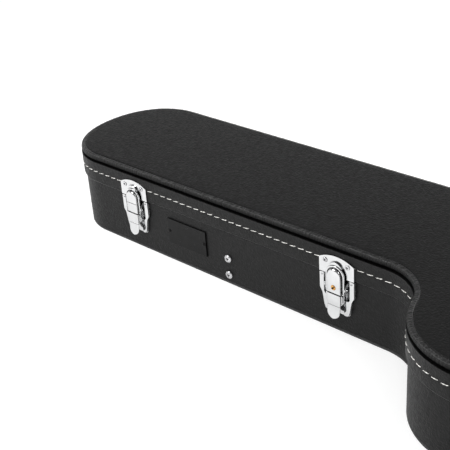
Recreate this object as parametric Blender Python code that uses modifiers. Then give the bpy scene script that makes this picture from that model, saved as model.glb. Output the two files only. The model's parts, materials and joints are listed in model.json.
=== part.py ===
"""Hard case for an electric guitar: a plywood tray and lid under grained vinyl, with draw latches.

The case lies flat on its bottom. X runs along it, from the narrow end (-X) to the tail (+X), the
latches and the handle are at the front (-Y), the hinges at the back (+Y), and Z is up.
The origin is the middle of the bottom face. Metres throughout.
"""
import math

import bmesh
import bpy
from mathutils import Matrix, Vector

MM = 0.001

# Fits
TOUCH = 0.3 * MM              # gap between pieces that lie on each other
RUNNING = 0.06 * MM           # radial clearance of a pin in its hole
PARTING = 0.4 * MM            # gap between the tray's rim and the lid's

# Outline of the tray, seen from above
TOTAL_LENGTH = 1070 * MM
NECK_WIDTH = 175 * MM
BODY_WIDTH = 390 * MM
END_DEPTH = 76 * MM           # how far the rounded narrow end reaches back
END_POWER = 2.13              # 2 is an ellipse, more is squarer
BODY_STRAIGHT_LENGTH = 290 * MM
FLARE_RADIUS_NECK = 60 * MM
FLARE_RADIUS_BODY = 85 * MM
TAIL_RADIUS = 120 * MM

# Shell
BOTTOM_THICKNESS = 3 * MM
WALL_THICKNESS = 9 * MM
TRAY_HEIGHT = 71 * MM         # bottom face to the tray's rim
LID_SIDE_TOP = 104 * MM       # bottom face to the groove under the padded top
LID_PROUD = 2.5 * MM          # how far the lid's side stands out past the tray's
TOP_PAD_THICKNESS = 6 * MM
TOP_PAD_ROUNDING = 2.8 * MM
TOP_PAD_INSET = 0.8 * MM      # from the lid's side to the padded top's edge

# Lining and padding
LINER_THICKNESS = 3 * MM
LINER_LIP = 8 * MM            # how far the liner stands above the tray's rim
FLOOR_PAD_THICKNESS = 10 * MM
LID_BOARD_THICKNESS = 4 * MM
LID_LINING_THICKNESS = 4 * MM
BODY_CRADLE_TOP = 58 * MM     # all these tops are heights above the bottom face
BODY_CRADLE_TO_FLARE = 20 * MM
BODY_SPACE_PAST_FLARE = 40 * MM
BODY_SPACE_TAIL_WALL = 14 * MM
BODY_SPACE_HALF_WIDTH = 166 * MM
BODY_SPACE_POWER = 2.6
WAIST_DEPTH = 34 * MM
WAIST_PLACE = 0.40            # along the body's space, 0 at the neck and 1 at the tail
WAIST_SPREAD = 0.17
NECK_SLOT_WIDTH = 68 * MM
NECK_CRADLE_CENTRE = 297.5 * MM
NECK_CRADLE_THICKNESS = 22 * MM
NECK_CRADLE_TOP = 62 * MM
NECK_CRADLE_NOTCH = 16 * MM
SIDE_PAD_TOP = 50 * MM

# Accessory compartment beside the neck, on the hinge side
BOX_WALL = 4 * MM
BOX_TOP = 54 * MM
DOOR_THICKNESS = 4 * MM
DOOR_CLEARANCE = 0.4 * MM
ROD_RADIUS = 0.9 * MM
ROD_FROM_LINER = 4 * MM
TAB_LENGTH = 22 * MM
TAB_WIDTH = 14 * MM
TAB_THICKNESS = 1.2 * MM

# Screws that hold the neck cradle through the tray's side
CRADLE_SCREW_HEIGHTS = (12.8 * MM, 34.9 * MM)
CRADLE_SCREW_HEAD_RADIUS = 5.0 * MM
CRADLE_SCREW_HEAD_HEIGHT = 2.2 * MM
CRADLE_SCREW_SHANK_RADIUS = 1.8 * MM
CRADLE_SCREW_LENGTH = 26 * MM
CROSS_SLOT_LENGTH = 6.2 * MM
CROSS_SLOT_WIDTH = 1.2 * MM
CROSS_SLOT_DEPTH = 1.0 * MM

# Name plate
PLATE_CENTRE = 231.2 * MM
PLATE_WIDTH = 64 * MM
PLATE_LOW = 25.2 * MM
PLATE_HIGH = 58.8 * MM
PLATE_THICKNESS = 1.8 * MM
PLATE_SCREW_SPACING = 58 * MM
PLATE_SCREW_HEIGHT = 42 * MM
PLATE_SCREW_RADIUS = 2.2 * MM
PLATE_SCREW_HEAD = 0.5 * MM

# Latches: heights from the tray's rim, and distances out from the tray's side
LATCH_FROM_TIP = 144.8 * MM
LATCH_TO_FLARE = 62 * MM
LATCH_TO_TAIL_CORNER = 45 * MM
LOCKING_LATCH = 2
LATCH_WIDTH = 45 * MM
LATCH_PLATE_THICKNESS = 1.3 * MM
LATCH_SCREW_HEAD = 0.7 * MM
CATCH_SHOULDER = 17.5 * MM
CATCH_PEAK = 23.8 * MM
CATCH_SCREW_RADIUS = 2.6 * MM
CATCH_SCREW_SPACING = 29 * MM
CATCH_SCREW_HEIGHT = 15.8 * MM
BASE_PLATE_TOP = -0.6 * MM
BASE_PLATE_STEP_TOP = -20.5 * MM
BASE_PLATE_STEP_LOW = -25.7 * MM
BASE_PLATE_STEP_WIDTH = 38.5 * MM
BASE_PLATE_LOW = -46.4 * MM
BASE_PLATE_LOW_WIDTH = 33 * MM
BASE_PLATE_CORNER = 4 * MM
BASE_SCREW_RADIUS = 1.3 * MM
BASE_SCREW_SPACING = 38 * MM
BASE_SCREW_HEIGHT = -2.6 * MM
HASP_WIDTH = 22.6 * MM
HASP_WALL = 1.9 * MM
HASP_TOP = 16.3 * MM
HASP_BACK = 5.4 * MM
HASP_FRONT = 9.8 * MM
HASP_PANEL_FRONT = 9.2 * MM
HASP_PANEL_THICKNESS = 1.4 * MM
HASP_PANEL_LOW = -15.8 * MM
HASP_LOW = -19.2 * MM
BOSS_FRONT = 7.0 * MM
BOSS_CLEARANCE = 0.3 * MM
BOSS_LOW = 2 * MM
LEVER_PIVOT_OUT = 4.2 * MM
LEVER_PIVOT_HEIGHT = -12.5 * MM
LINK_PIVOT_OUT = 8.2 * MM
LINK_PIVOT_HEIGHT = -17.5 * MM
PIVOT_RADIUS = 0.9 * MM
LEVER_PANEL_FRONT = 9.3 * MM
LEVER_PANEL_THICKNESS = 1.5 * MM
LEVER_PANEL_PAST_LINK = 0.5 * MM
LEVER_FLANGE_TOP = -20.6 * MM
LEVER_FLANGE_LOW = -29 * MM
LEVER_FLANGE_TAPER = 2.5 * MM
TAB_SHOULDER = -32.5 * MM
THUMB_WIDTH = 17.4 * MM
THUMB_LOW = -49.2 * MM
THUMB_LIFT = 2.0 * MM         # how far the thumb end stands out past the panel
LEVER_SIDE_CLEARANCE = 0.35 * MM
ARM_THICKNESS = 1.8 * MM
ARM_BACK = 2.3 * MM
ARM_BOSS_RADIUS = 1.9 * MM
KNUCKLE_RADIUS = 1.1 * MM
EAR_THICKNESS = 1.4 * MM
EAR_CLEARANCE = 1.0 * MM
EAR_REACH = 3.0 * MM          # past the pivot's axis
EAR_LOW = -27 * MM
EAR_HIGH = -3 * MM
EAR_RAIL_OUT = 3.6 * MM
EAR_RAIL_TAPER = 2 * MM
PIVOT_HEAD_RADIUS = 1.7 * MM
PIVOT_HEAD_HEIGHT = 0.9 * MM
LOCK_HEIGHT = -11 * MM
LOCK_RADIUS = 3.0 * MM
LOCK_PROUD = 0.4 * MM
KEYHOLE_WIDTH = 1.0 * MM
KEYHOLE_DEPTH = 1.4 * MM

# Hinges
HINGE_TO_STRAIGHT_END = 35 * MM
HINGE_WIDTH = 40 * MM
HINGE_LEAF_THICKNESS = 1.5 * MM
HINGE_LEAF_LENGTH = 24 * MM
HINGE_AXIS_OUT = 4.5 * MM     # out from the lid's side
HINGE_KNUCKLE_RADIUS = 3.4 * MM
HINGE_PIN_RADIUS = 1.5 * MM
HINGE_PIN_HEAD_RADIUS = 2.4 * MM
HINGE_PIN_HEAD_HEIGHT = 1.0 * MM
HINGE_MIDDLE_KNUCKLE = 13.4 * MM
HINGE_KNUCKLE_GAP = 0.3 * MM
HINGE_ARM_CLEARANCE = 0.6 * MM
HINGE_ARM_DEPTH = 3.6 * MM

# Handle
HANDLE_TO_FLARE = 88 * MM
HANDLE_SPAN = 124 * MM        # between the two brackets' middles
HANDLE_AXIS_OUT = 10.5 * MM
HANDLE_AXIS_HEIGHT = 48 * MM
HANDLE_DROP = 31 * MM         # from the axis to the grip's centre line
HANDLE_BEND = 20 * MM
HANDLE_GRIP_RADIUS = 8.5 * MM
HANDLE_END_RADIUS = 4.4 * MM
HANDLE_EYE_WIDTH = 9.6 * MM
HANDLE_EYE_RADIUS = 5.4 * MM
HANDLE_PIN_RADIUS = 2.0 * MM
BRACKET_WIDTH = 24 * MM
BRACKET_HEIGHT = 34 * MM
BRACKET_THICKNESS = 1.6 * MM
BRACKET_EAR_CLEARANCE = 0.4 * MM
BRACKET_EAR_THICKNESS = 1.8 * MM
BRACKET_EAR_HALF_HEIGHT = 5.0 * MM

# Fineness of curves, and how far a cutter reaches past what it cuts
CURVE_STEPS = 8
BEND_STEPS = 4
ROUND_STEPS = 16
SMALL_STEPS = 12
ROUNDING_STEPS = 3
GRIP_STEPS = 2
SHARP_ANGLE = math.radians(35)
PAST = 4 * MM
PARTS =bpy.data.collections.new("electric_guitar_case")
CUTTERS = bpy.data.collections.new("cutters")


# Derived places
def from_tip(distance):
    """The X of a place measured from the narrow end's tip."""
    return distance - TOTAL_LENGTH / 2


FLARE_ANGLE = math.acos(1 - (BODY_WIDTH - NECK_WIDTH) / 2 / (FLARE_RADIUS_NECK + FLARE_RADIUS_BODY))
FLARE_LENGTH = (FLARE_RADIUS_NECK + FLARE_RADIUS_BODY) * math.sin(FLARE_ANGLE)
BODY_STRAIGHT_END = TOTAL_LENGTH / 2 - TAIL_RADIUS
BODY_STRAIGHT_START = BODY_STRAIGHT_END - BODY_STRAIGHT_LENGTH
NECK_STRAIGHT_END = BODY_STRAIGHT_START - FLARE_LENGTH
BODY_CRADLE_START = NECK_STRAIGHT_END - BODY_CRADLE_TO_FLARE
LID_RIM = TRAY_HEIGHT + PARTING
FLOOR_TOP = BOTTOM_THICKNESS + TOUCH + FLOOR_PAD_THICKNESS
PAD_SEAT = FLOOR_TOP + TOUCH
LINER_INSET = WALL_THICKNESS + TOUCH
PAD_INSET = LINER_INSET + LINER_THICKNESS + TOUCH
LID_INSET = WALL_THICKNESS - LID_PROUD + TOUCH
LEVER_PANEL_TOP = LINK_PIVOT_HEIGHT + LEVER_PANEL_PAST_LINK


# Modelling helpers
def make_material(name, colour, roughness, metallic=0.0):
    """A Principled material of one plain finish."""
    material = bpy.data.materials.new(name)
    material.use_nodes = True
    shader = material.node_tree.nodes["Principled BSDF"]
    shader.inputs["Base Color"].default_value = (*colour, 1.0)
    shader.inputs["Roughness"].default_value = roughness
    shader.inputs["Metallic"].default_value = metallic
    return material


def make_object(name, mesh, collection=PARTS):
    piece = bpy.data.objects.new(name, mesh)
    collection.objects.link(piece)
    return piece


def evaluated_mesh(piece):
    """A copy of the object's mesh as its modifiers leave it."""
    bpy.context.view_layer.update()
    graph = bpy.context.evaluated_depsgraph_get()
    return bpy.data.meshes.new_from_object(piece.evaluated_get(graph))


def weld(mesh):
    """Join the loose caps of a curve's mesh to its sides, with the faces pointing out."""
    cage = bmesh.new()
    cage.from_mesh(mesh)
    bmesh.ops.remove_doubles(cage, verts=cage.verts, dist=0.005 * MM)
    bmesh.ops.recalc_face_normals(cage, faces=cage.faces)
    cage.to_mesh(mesh)
    cage.free()


def curve_to_mesh(piece):
    """Replace a curve object by a mesh object of the same name and place."""
    mesh = evaluated_mesh(piece)
    weld(mesh)
    name = piece.name
    matrix = piece.matrix_world.copy()
    collection = piece.users_collection[0]
    curve = piece.data
    bpy.data.objects.remove(piece)
    bpy.data.curves.remove(curve)
    solid = make_object(name, mesh, collection)
    solid.matrix_world = matrix
    return solid


def flat_solid(name, loops, low, high, collection=PARTS):
    """A plate with the given outlines in XY, the later ones being holes, from low to high in Z."""
    curve = bpy.data.curves.new(name, "CURVE")
    curve.dimensions = "2D"
    curve.fill_mode = "BOTH"
    curve.extrude = (high - low) / 2
    for loop in loops:
        spline = curve.splines.new("POLY")
        spline.points.add(len(loop) - 1)
        for point, place in zip(spline.points, loop):
            point.co = (place[0], place[1], 0, 1)
        spline.use_cyclic_u = True
    piece = make_object(name, curve, collection)
    piece.location.z = (low + high) / 2
    return bake_place(curve_to_mesh(piece))


def bake_place(piece):
    """Move the object's place into its mesh, so that its own origin is the frame's."""
    bpy.context.view_layer.update()
    piece.data.transform(piece.matrix_world)
    piece.matrix_world = Matrix.Identity(4)
    return piece


def turn_mesh(piece, matrix):
    piece.data.transform(matrix)
    return piece


# A front outline is drawn in X and Z and given its depth outwards, which is -Y.
# A side outline is drawn outwards and up, and given its width along X.
FRONT = Matrix(((1, 0, 0, 0), (0, 0, -1, 0), (0, 1, 0, 0), (0, 0, 0, 1)))
SIDE = Matrix(((0, 0, -1, 0), (-1, 0, 0, 0), (0, 1, 0, 0), (0, 0, 0, 1)))


def front_solid(name, loops, back, front, collection=PARTS):
    """A plate whose outline faces outwards, between two distances out from the tray's side."""
    return turn_mesh(flat_solid(name, loops, back, front, collection), FRONT)


def side_solid(name, loop, left, right, collection=PARTS):
    """A block whose outline is seen from the side, between two places along X."""
    return turn_mesh(flat_solid(name, [loop], -right, -left, collection), SIDE)


def rod(name, radius, start, end, segments=ROUND_STEPS, collection=PARTS):
    """A round bar between two points."""
    start, end = Vector(start), Vector(end)
    cage = bmesh.new()
    bmesh.ops.create_cone(cage, cap_ends=True, segments=segments, radius1=radius, radius2=radius,
                          depth=(end - start).length)
    mesh = bpy.data.meshes.new(name)
    cage.to_mesh(mesh)
    cage.free()
    turn = (end - start).to_track_quat("Z", "Y").to_matrix().to_4x4()
    mesh.transform(Matrix.Translation((start + end) / 2) @ turn)
    return make_object(name, mesh, collection)


def hole_radius(radius, segments=ROUND_STEPS):
    """The corner radius of a faceted hole that a pin of the given radius turns in."""
    return (radius + RUNNING) / math.cos(math.pi / segments)


def box(name, low, high, collection=PARTS):
    """A block between two corners."""
    cage = bmesh.new()
    bmesh.ops.create_cube(cage, size=1.0)
    mesh = bpy.data.meshes.new(name)
    cage.to_mesh(mesh)
    cage.free()
    low, high = Vector(low), Vector(high)
    mesh.transform(Matrix.Translation((low + high) / 2) @ Matrix.Diagonal((*(high - low), 1)))
    return make_object(name, mesh, collection)


def combine(piece, others, operation):
    """Apply one Boolean after another to the piece, and take the other pieces away."""
    for other in others:
        modifier = piece.modifiers.new(operation, "BOOLEAN")
        modifier.operation = operation
        modifier.object = other
    mesh = evaluated_mesh(piece)
    piece.modifiers.clear()
    old = piece.data
    piece.data = mesh
    bpy.data.meshes.remove(old)
    for other in others:
        spare = other.data
        bpy.data.objects.remove(other)
        bpy.data.meshes.remove(spare)
    return piece


def join(piece, others):
    return combine(piece, others, "UNION")


def cut(piece, others):
    return combine(piece, others, "DIFFERENCE")


def finish(piece, material, parent=None, origin=None):
    """Give the piece its material, its origin and its parent, and smooth its round faces."""
    piece.data.materials.clear()
    piece.data.materials.append(material)
    if origin is not None:
        piece.data.transform(Matrix.Translation(-Vector(origin)))
        piece.location = origin
    piece.data.shade_smooth()
    piece.data.set_sharp_from_angle(angle=SHARP_ANGLE)
    piece.parent = parent
    return piece


def make_place(name, location, turn=0.0):
    """An empty that carries one fitting's pieces to its place on the case."""
    place = bpy.data.objects.new(name, None)
    PARTS.objects.link(place)
    place.location = location
    place.rotation_euler.z = turn
    return place


def copy_of(model, name, parent):
    """A copy of a finished piece, under its own name and parent."""
    piece = model.copy()
    piece.data = model.data.copy()
    piece.name = name
    piece.parent = parent
    PARTS.objects.link(piece)
    return piece


def remove_models(models):
    for model in models:
        mesh = model.data
        bpy.data.objects.remove(model)
        bpy.data.meshes.remove(mesh)


def arc(centre, radius, start_deg, end_deg, steps=CURVE_STEPS):
    """Points on an arc, both ends included; angles anticlockwise from the first axis."""
    turns = [math.radians(start_deg + (end_deg - start_deg) * i / steps) for i in range(steps + 1)]
    return [(centre[0] + radius * math.cos(t), centre[1] + radius * math.sin(t)) for t in turns]


def mirrored(half):
    """A closed outline from its half at positive second coordinate, both ends included."""
    return half + [(x, -y) for x, y in reversed(half)]


def both_sides(half):
    """A closed outline from its right half, which runs upwards."""
    return half + [(-x, y) for x, y in reversed(half)]


def inset(loop, distance):
    """A closed outline moved inwards, or outwards where the distance is negative."""
    points = [Vector(p) for p in loop]
    area = sum(a.x * b.y - b.x * a.y for a, b in zip(points, points[1:] + points[:1]))
    side = 1 if area > 0 else -1
    moved = []
    for before, here, after in zip(points[-1:] + points[:-1], points, points[1:] + points[:1]):
        first = (here - before).normalized()
        second = (after - here).normalized()
        first = Vector((-first.y, first.x)) * side
        second = Vector((-second.y, second.x)) * side
        corner = here + (first + second) * distance / (1 + first.dot(second))
        moved.append((corner.x, corner.y))
    return moved


def case_outline():
    """The tray's outer edge: round narrow end, straight neck, flare, straight body, round tail."""
    tip = from_tip(0)
    half_neck = NECK_WIDTH / 2
    half_body = BODY_WIDTH / 2
    half = []
    steps = 2 * CURVE_STEPS
    for i in range(1, steps + 1):
        turn = math.pi / 2 * (i - 0.5) / (steps - 0.5)
        half.append((tip + END_DEPTH * (1 - math.cos(turn) ** (2 / END_POWER)),
                     half_neck * math.sin(turn) ** (2 / END_POWER)))
    flare = math.degrees(FLARE_ANGLE)
    half += arc((NECK_STRAIGHT_END, half_neck + FLARE_RADIUS_NECK), FLARE_RADIUS_NECK,
                -90, flare - 90)
    half += arc((BODY_STRAIGHT_START, half_body - FLARE_RADIUS_BODY), FLARE_RADIUS_BODY,
                90 + flare, 90)[1:]
    half += arc((BODY_STRAIGHT_END, half_body - TAIL_RADIUS), TAIL_RADIUS, 90, 0)
    return mirrored(half)


EDGE = case_outline()


# Tray and lid
def make_tray(vinyl, plush):
    bottom = flat_solid("bottom_panel", [EDGE], 0, BOTTOM_THICKNESS)
    finish(bottom, vinyl)
    wall = flat_solid("tray_wall", [EDGE, inset(EDGE, WALL_THICKNESS)],
                      BOTTOM_THICKNESS + TOUCH, TRAY_HEIGHT)
    liner = flat_solid("tray_liner", [inset(EDGE, LINER_INSET),
                                      inset(EDGE, LINER_INSET + LINER_THICKNESS)],
                       PAD_SEAT, TRAY_HEIGHT + LINER_LIP)
    floor = flat_solid("floor_padding", [inset(EDGE, LINER_INSET)],
                       BOTTOM_THICKNESS + TOUCH, FLOOR_TOP)
    finish(floor, plush)
    return wall, liner, floor


def make_lid(vinyl, plush, board):
    wall = flat_solid("lid_wall", [inset(EDGE, -LID_PROUD), inset(EDGE, WALL_THICKNESS - LID_PROUD)],
                      LID_RIM, LID_SIDE_TOP)
    finish(wall, vinyl)
    inner = inset(EDGE, LID_INSET)
    board_low = LID_SIDE_TOP - LID_BOARD_THICKNESS
    finish(flat_solid("lid_board", [inner], board_low, LID_SIDE_TOP), board)
    lining_high = board_low - TOUCH
    finish(flat_solid("lid_lining", [inner], lining_high - LID_LINING_THICKNESS, lining_high), plush)
    pad_low = LID_SIDE_TOP + TOUCH
    pad = flat_solid("lid_top_pad", [inset(EDGE, TOP_PAD_INSET - LID_PROUD)],
                     pad_low, pad_low + TOP_PAD_THICKNESS)
    finish(pad, vinyl)
    rounding = pad.modifiers.new("rounding", "BEVEL")
    rounding.width = TOP_PAD_ROUNDING
    rounding.segments = ROUNDING_STEPS
    rounding.limit_method = "ANGLE"
    rounding.angle_limit = SHARP_ANGLE


# Padding
def body_space_half():
    """Half of the hollow for the guitar's body, from the neck's end to the tail."""
    start = NECK_STRAIGHT_END + BODY_SPACE_PAST_FLARE
    end = TOTAL_LENGTH / 2 - PAD_INSET - BODY_SPACE_TAIL_WALL
    steps = 4 * CURVE_STEPS
    points = []
    for i in range(1, steps):
        turn = math.pi * i / steps
        along = (1 - math.cos(turn)) / 2
        round_off = (1 - abs(2 * along - 1) ** BODY_SPACE_POWER) ** (1 / BODY_SPACE_POWER)
        waist = WAIST_DEPTH * math.exp(-((along - WAIST_PLACE) / WAIST_SPREAD) ** 2)
        half_width = BODY_SPACE_HALF_WIDTH * round_off - waist
        if half_width > NECK_SLOT_WIDTH / 2 or along > 0.5:
            points.append((start + (end - start) * along, half_width))
    return points


def make_body_cradle(plush):
    """Padding round the guitar's body, open towards the neck."""
    front = BODY_CRADLE_START
    outer = [p for p in inset(EDGE, PAD_INSET) if p[0] > front and p[1] > 0]
    half_neck = NECK_WIDTH / 2 - PAD_INSET
    slot = NECK_SLOT_WIDTH / 2
    hollow = body_space_half()
    loop = [(front, half_neck)] + outer + [(x, -y) for x, y in reversed(outer)]
    loop += [(front, -half_neck), (front, -slot), (hollow[0][0], -slot)]
    loop += [(x, -y) for x, y in hollow] + list(reversed(hollow))
    loop += [(hollow[0][0], slot), (front, slot)]
    finish(flat_solid("body_cradle", [loop], PAD_SEAT, BODY_CRADLE_TOP), plush)


def make_neck_cradle(plush):
    """The padded block that carries the neck, with its notch."""
    centre = from_tip(NECK_CRADLE_CENTRE)
    half_width = NECK_WIDTH / 2 - PAD_INSET
    notch = NECK_SLOT_WIDTH / 2
    notch_low = NECK_CRADLE_TOP - NECK_CRADLE_NOTCH
    half = [(half_width, PAD_SEAT), (half_width, NECK_CRADLE_TOP), (notch, NECK_CRADLE_TOP),
            (notch - NECK_CRADLE_NOTCH / 2, notch_low)]
    loop = both_sides(half)
    block = flat_solid("neck_cradle", [loop], -NECK_CRADLE_THICKNESS / 2, NECK_CRADLE_THICKNESS / 2)
    across = Matrix(((0, 0, 1, centre), (1, 0, 0, 0), (0, 1, 0, 0), (0, 0, 0, 1)))
    turn_mesh(block, across)
    return block


def neck_bay():
    """The stretch along X between the neck cradle and the body cradle."""
    low = from_tip(NECK_CRADLE_CENTRE) + NECK_CRADLE_THICKNESS / 2 + TOUCH
    return low, BODY_CRADLE_START - TOUCH


def make_side_pad(plush):
    low, high = neck_bay()
    outer = NECK_WIDTH / 2 - PAD_INSET
    pad = box("neck_side_pad", (low, -outer, PAD_SEAT), (high, -NECK_SLOT_WIDTH / 2, SIDE_PAD_TOP))
    finish(pad, plush)


def make_compartment(board, plush, steel, ribbon):
    """An open box with a door that turns on a rod through the box's two raised ears."""
    low, high = neck_bay()
    inner = NECK_SLOT_WIDTH / 2
    outer = NECK_WIDTH / 2 - PAD_INSET
    rod_y = outer - ROD_FROM_LINER
    rod_z = BOX_TOP + DOOR_CLEARANCE + DOOR_THICKNESS / 2
    ear_low = rod_y - DOOR_THICKNESS / 2
    ear_top = rod_z + DOOR_THICKNESS / 2
    ears = [box("ear", (x, ear_low, BOX_TOP - BOX_WALL), (x + BOX_WALL, outer, ear_top), CUTTERS)
            for x in (low, high - BOX_WALL)]
    tub = box("compartment_box", (low, inner, PAD_SEAT), (high, outer, BOX_TOP))
    join(tub, ears)
    hollow = box("hollow", (low + BOX_WALL, inner + BOX_WALL, PAD_SEAT + BOX_WALL),
                 (high - BOX_WALL, outer - BOX_WALL, BOX_TOP + PAST), CUTTERS)
    bore = rod("bore", hole_radius(ROD_RADIUS), (low - PAST, rod_y, rod_z),
               (high + PAST, rod_y, rod_z), collection=CUTTERS)
    cut(tub, [hollow, bore])
    finish(tub, board)

    pin = rod("compartment_hinge_rod", ROD_RADIUS, (low + TOUCH, rod_y, rod_z),
              (high - TOUCH, rod_y, rod_z))
    finish(pin, steel)

    left = low + BOX_WALL + DOOR_CLEARANCE
    right = high - BOX_WALL - DOOR_CLEARANCE
    round_edge = arc((-rod_y, rod_z), DOOR_THICKNESS / 2, 270, 90)
    door = side_solid("compartment_door", [(-inner, rod_z + DOOR_THICKNESS / 2)]
                      + [(-inner, rod_z - DOOR_THICKNESS / 2)] + round_edge, left, right)
    door_bore = rod("door_bore", hole_radius(ROD_RADIUS), (left - PAST, rod_y, rod_z),
                    (right + PAST, rod_y, rod_z), collection=CUTTERS)
    cut(door, [door_bore])
    axis = ((low + high) / 2, rod_y, rod_z)
    finish(door, plush, origin=axis)

    tab_low = rod_z + DOOR_THICKNESS / 2 + TOUCH
    middle = (low + high) / 2
    tab = box("door_pull_tab", (middle - TAB_WIDTH / 2, inner + TOUCH, tab_low),
              (middle + TAB_WIDTH / 2, inner + TAB_LENGTH, tab_low + TAB_THICKNESS))
    finish(tab, ribbon, origin=axis)


# Cradle screws and name plate
def screw_shape(name):
    """A pan-head screw that points inwards (+Y), its head's underside at the origin."""
    low = CRADLE_SCREW_SHANK_RADIUS
    head = CRADLE_SCREW_HEAD_RADIUS
    rounding = CRADLE_SCREW_HEAD_HEIGHT / 2
    profile = [(0, CRADLE_SCREW_HEAD_HEIGHT), (head - rounding, CRADLE_SCREW_HEAD_HEIGHT),
               (head, CRADLE_SCREW_HEAD_HEIGHT - rounding), (head, 0), (low, 0),
               (low, -CRADLE_SCREW_LENGTH + low), (0, -CRADLE_SCREW_LENGTH)]
    piece = turned(name, profile)
    turn_mesh(piece, Matrix.Rotation(math.pi / 2, 4, "X"))
    outside = -CRADLE_SCREW_HEAD_HEIGHT - PAST
    floor = -CRADLE_SCREW_HEAD_HEIGHT + CROSS_SLOT_DEPTH
    reach = CROSS_SLOT_LENGTH / 2
    half = CROSS_SLOT_WIDTH / 2
    slots = [box("slot", (-reach, outside, -half), (reach, floor, half), CUTTERS),
             box("slot", (-half, outside, -reach), (half, floor, reach), CUTTERS)]
    return cut(piece, slots)


def turned(name, profile, segments=ROUND_STEPS, collection=PARTS):
    """A turned solid: the profile holds radius and height, from its top to its bottom."""
    mesh = bpy.data.meshes.new(name)
    edges = [(i, i + 1) for i in range(len(profile) - 1)]
    mesh.from_pydata([(radius, 0, height) for radius, height in profile], edges, [])
    piece = make_object(name, mesh, collection)
    screw = piece.modifiers.new("turn", "SCREW")
    screw.axis = "Z"
    screw.steps = segments
    screw.render_steps = segments
    screw.use_merge_vertices = True
    screw.merge_threshold = 0.01 * MM
    solid_mesh = evaluated_mesh(piece)
    piece.modifiers.clear()
    piece.data = solid_mesh
    bpy.data.meshes.remove(mesh)
    weld(solid_mesh)
    return piece


def make_cradle_screws(pieces, steel):
    """Two screws from each side, through the wall and the liner into the neck cradle."""
    centre = from_tip(NECK_CRADLE_CENTRE)
    seat = NECK_WIDTH / 2 + TOUCH
    model = finish(screw_shape("cradle_screw"), steel)
    places = [(side, height) for side in (-1, 1) for height in CRADLE_SCREW_HEIGHTS]
    names = ("front_low", "front_high", "back_low", "back_high")
    for name, (side, height) in zip(names, places):
        screw = copy_of(model, f"cradle_screw_{name}", None)
        screw.location = (centre, side * seat, height)
        screw.rotation_euler.z = math.pi if side > 0 else 0.0
    remove_models([model])
    inner = seat - CRADLE_SCREW_LENGTH - TOUCH
    for piece, material in pieces:
        holes = [rod("screw_hole", CRADLE_SCREW_SHANK_RADIUS + TOUCH / 2,
                     (centre, side * (seat + PAST), height), (centre, side * inner, height),
                     collection=CUTTERS) for side, height in places]
        finish(cut(piece, holes), material)


def make_name_plate(material):
    """A bare plate with its two screw heads."""
    half = PLATE_WIDTH / 2
    low, high = PLATE_LOW, PLATE_HIGH
    plate = front_solid("name_plate", [[(-half, low), (half, low), (half, high), (-half, high)]],
                        TOUCH, PLATE_THICKNESS)
    heads = []
    for side in (-1, 1):
        x = side * PLATE_SCREW_SPACING / 2
        heads.append(rod("head", PLATE_SCREW_RADIUS, (x, -PLATE_THICKNESS / 2, PLATE_SCREW_HEIGHT),
                         (x, -PLATE_THICKNESS - PLATE_SCREW_HEAD, PLATE_SCREW_HEIGHT),
                         SMALL_STEPS, CUTTERS))
    finish(join(plate, heads), material)
    plate.location = (from_tip(PLATE_CENTRE), -NECK_WIDTH / 2, 0)


# Latches, modelled with the tray's side at Y = 0, outwards to -Y, and its rim at Z = 0
def wing_arch(half_width, shoulder, peak, low):
    """A plate with straight sides and an arched top."""
    rise = peak - shoulder
    radius = (half_width ** 2 + rise ** 2) / (2 * rise)
    spread = math.degrees(math.asin(half_width / radius))
    top = arc((0, peak - radius), radius, 90 - spread, 90 + spread)
    return [(half_width, low)] + top + [(-half_width, low)]


def tunnel(half_width, spring, low, steps=2 * CURVE_STEPS):
    """Straight sides under a half-round top."""
    return [(half_width, low)] + arc((0, spring), half_width, 0, 180, steps) + [(-half_width, low)]


def catch_plate_shape(name):
    """The lid's plate, with the raised boss that the hasp's round end hooks over."""
    back = LID_PROUD + TOUCH
    front = back + LATCH_PLATE_THICKNESS
    half = LATCH_WIDTH / 2
    plate = front_solid(name, [wing_arch(half, CATCH_SHOULDER, CATCH_PEAK, PARTING)], back, front)
    boss_half = HASP_WIDTH / 2 - HASP_WALL - BOSS_CLEARANCE
    spring = HASP_TOP - HASP_WIDTH / 2
    boss = front_solid("boss", [tunnel(boss_half, spring, BOSS_LOW)],
                       back + LATCH_PLATE_THICKNESS / 2, BOSS_FRONT, CUTTERS)
    return join(plate, [boss] + screw_heads(CATCH_SCREW_RADIUS, CATCH_SCREW_SPACING,
                                            CATCH_SCREW_HEIGHT, front))


def screw_heads(radius, spacing, height, seat):
    """A pair of low screw heads that stand on a latch plate."""
    return [rod("head", radius, (x, -seat + LATCH_PLATE_THICKNESS / 2, height),
                (x, -seat - LATCH_SCREW_HEAD, height), SMALL_STEPS, CUTTERS)
            for x in (-spacing / 2, spacing / 2)]


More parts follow.
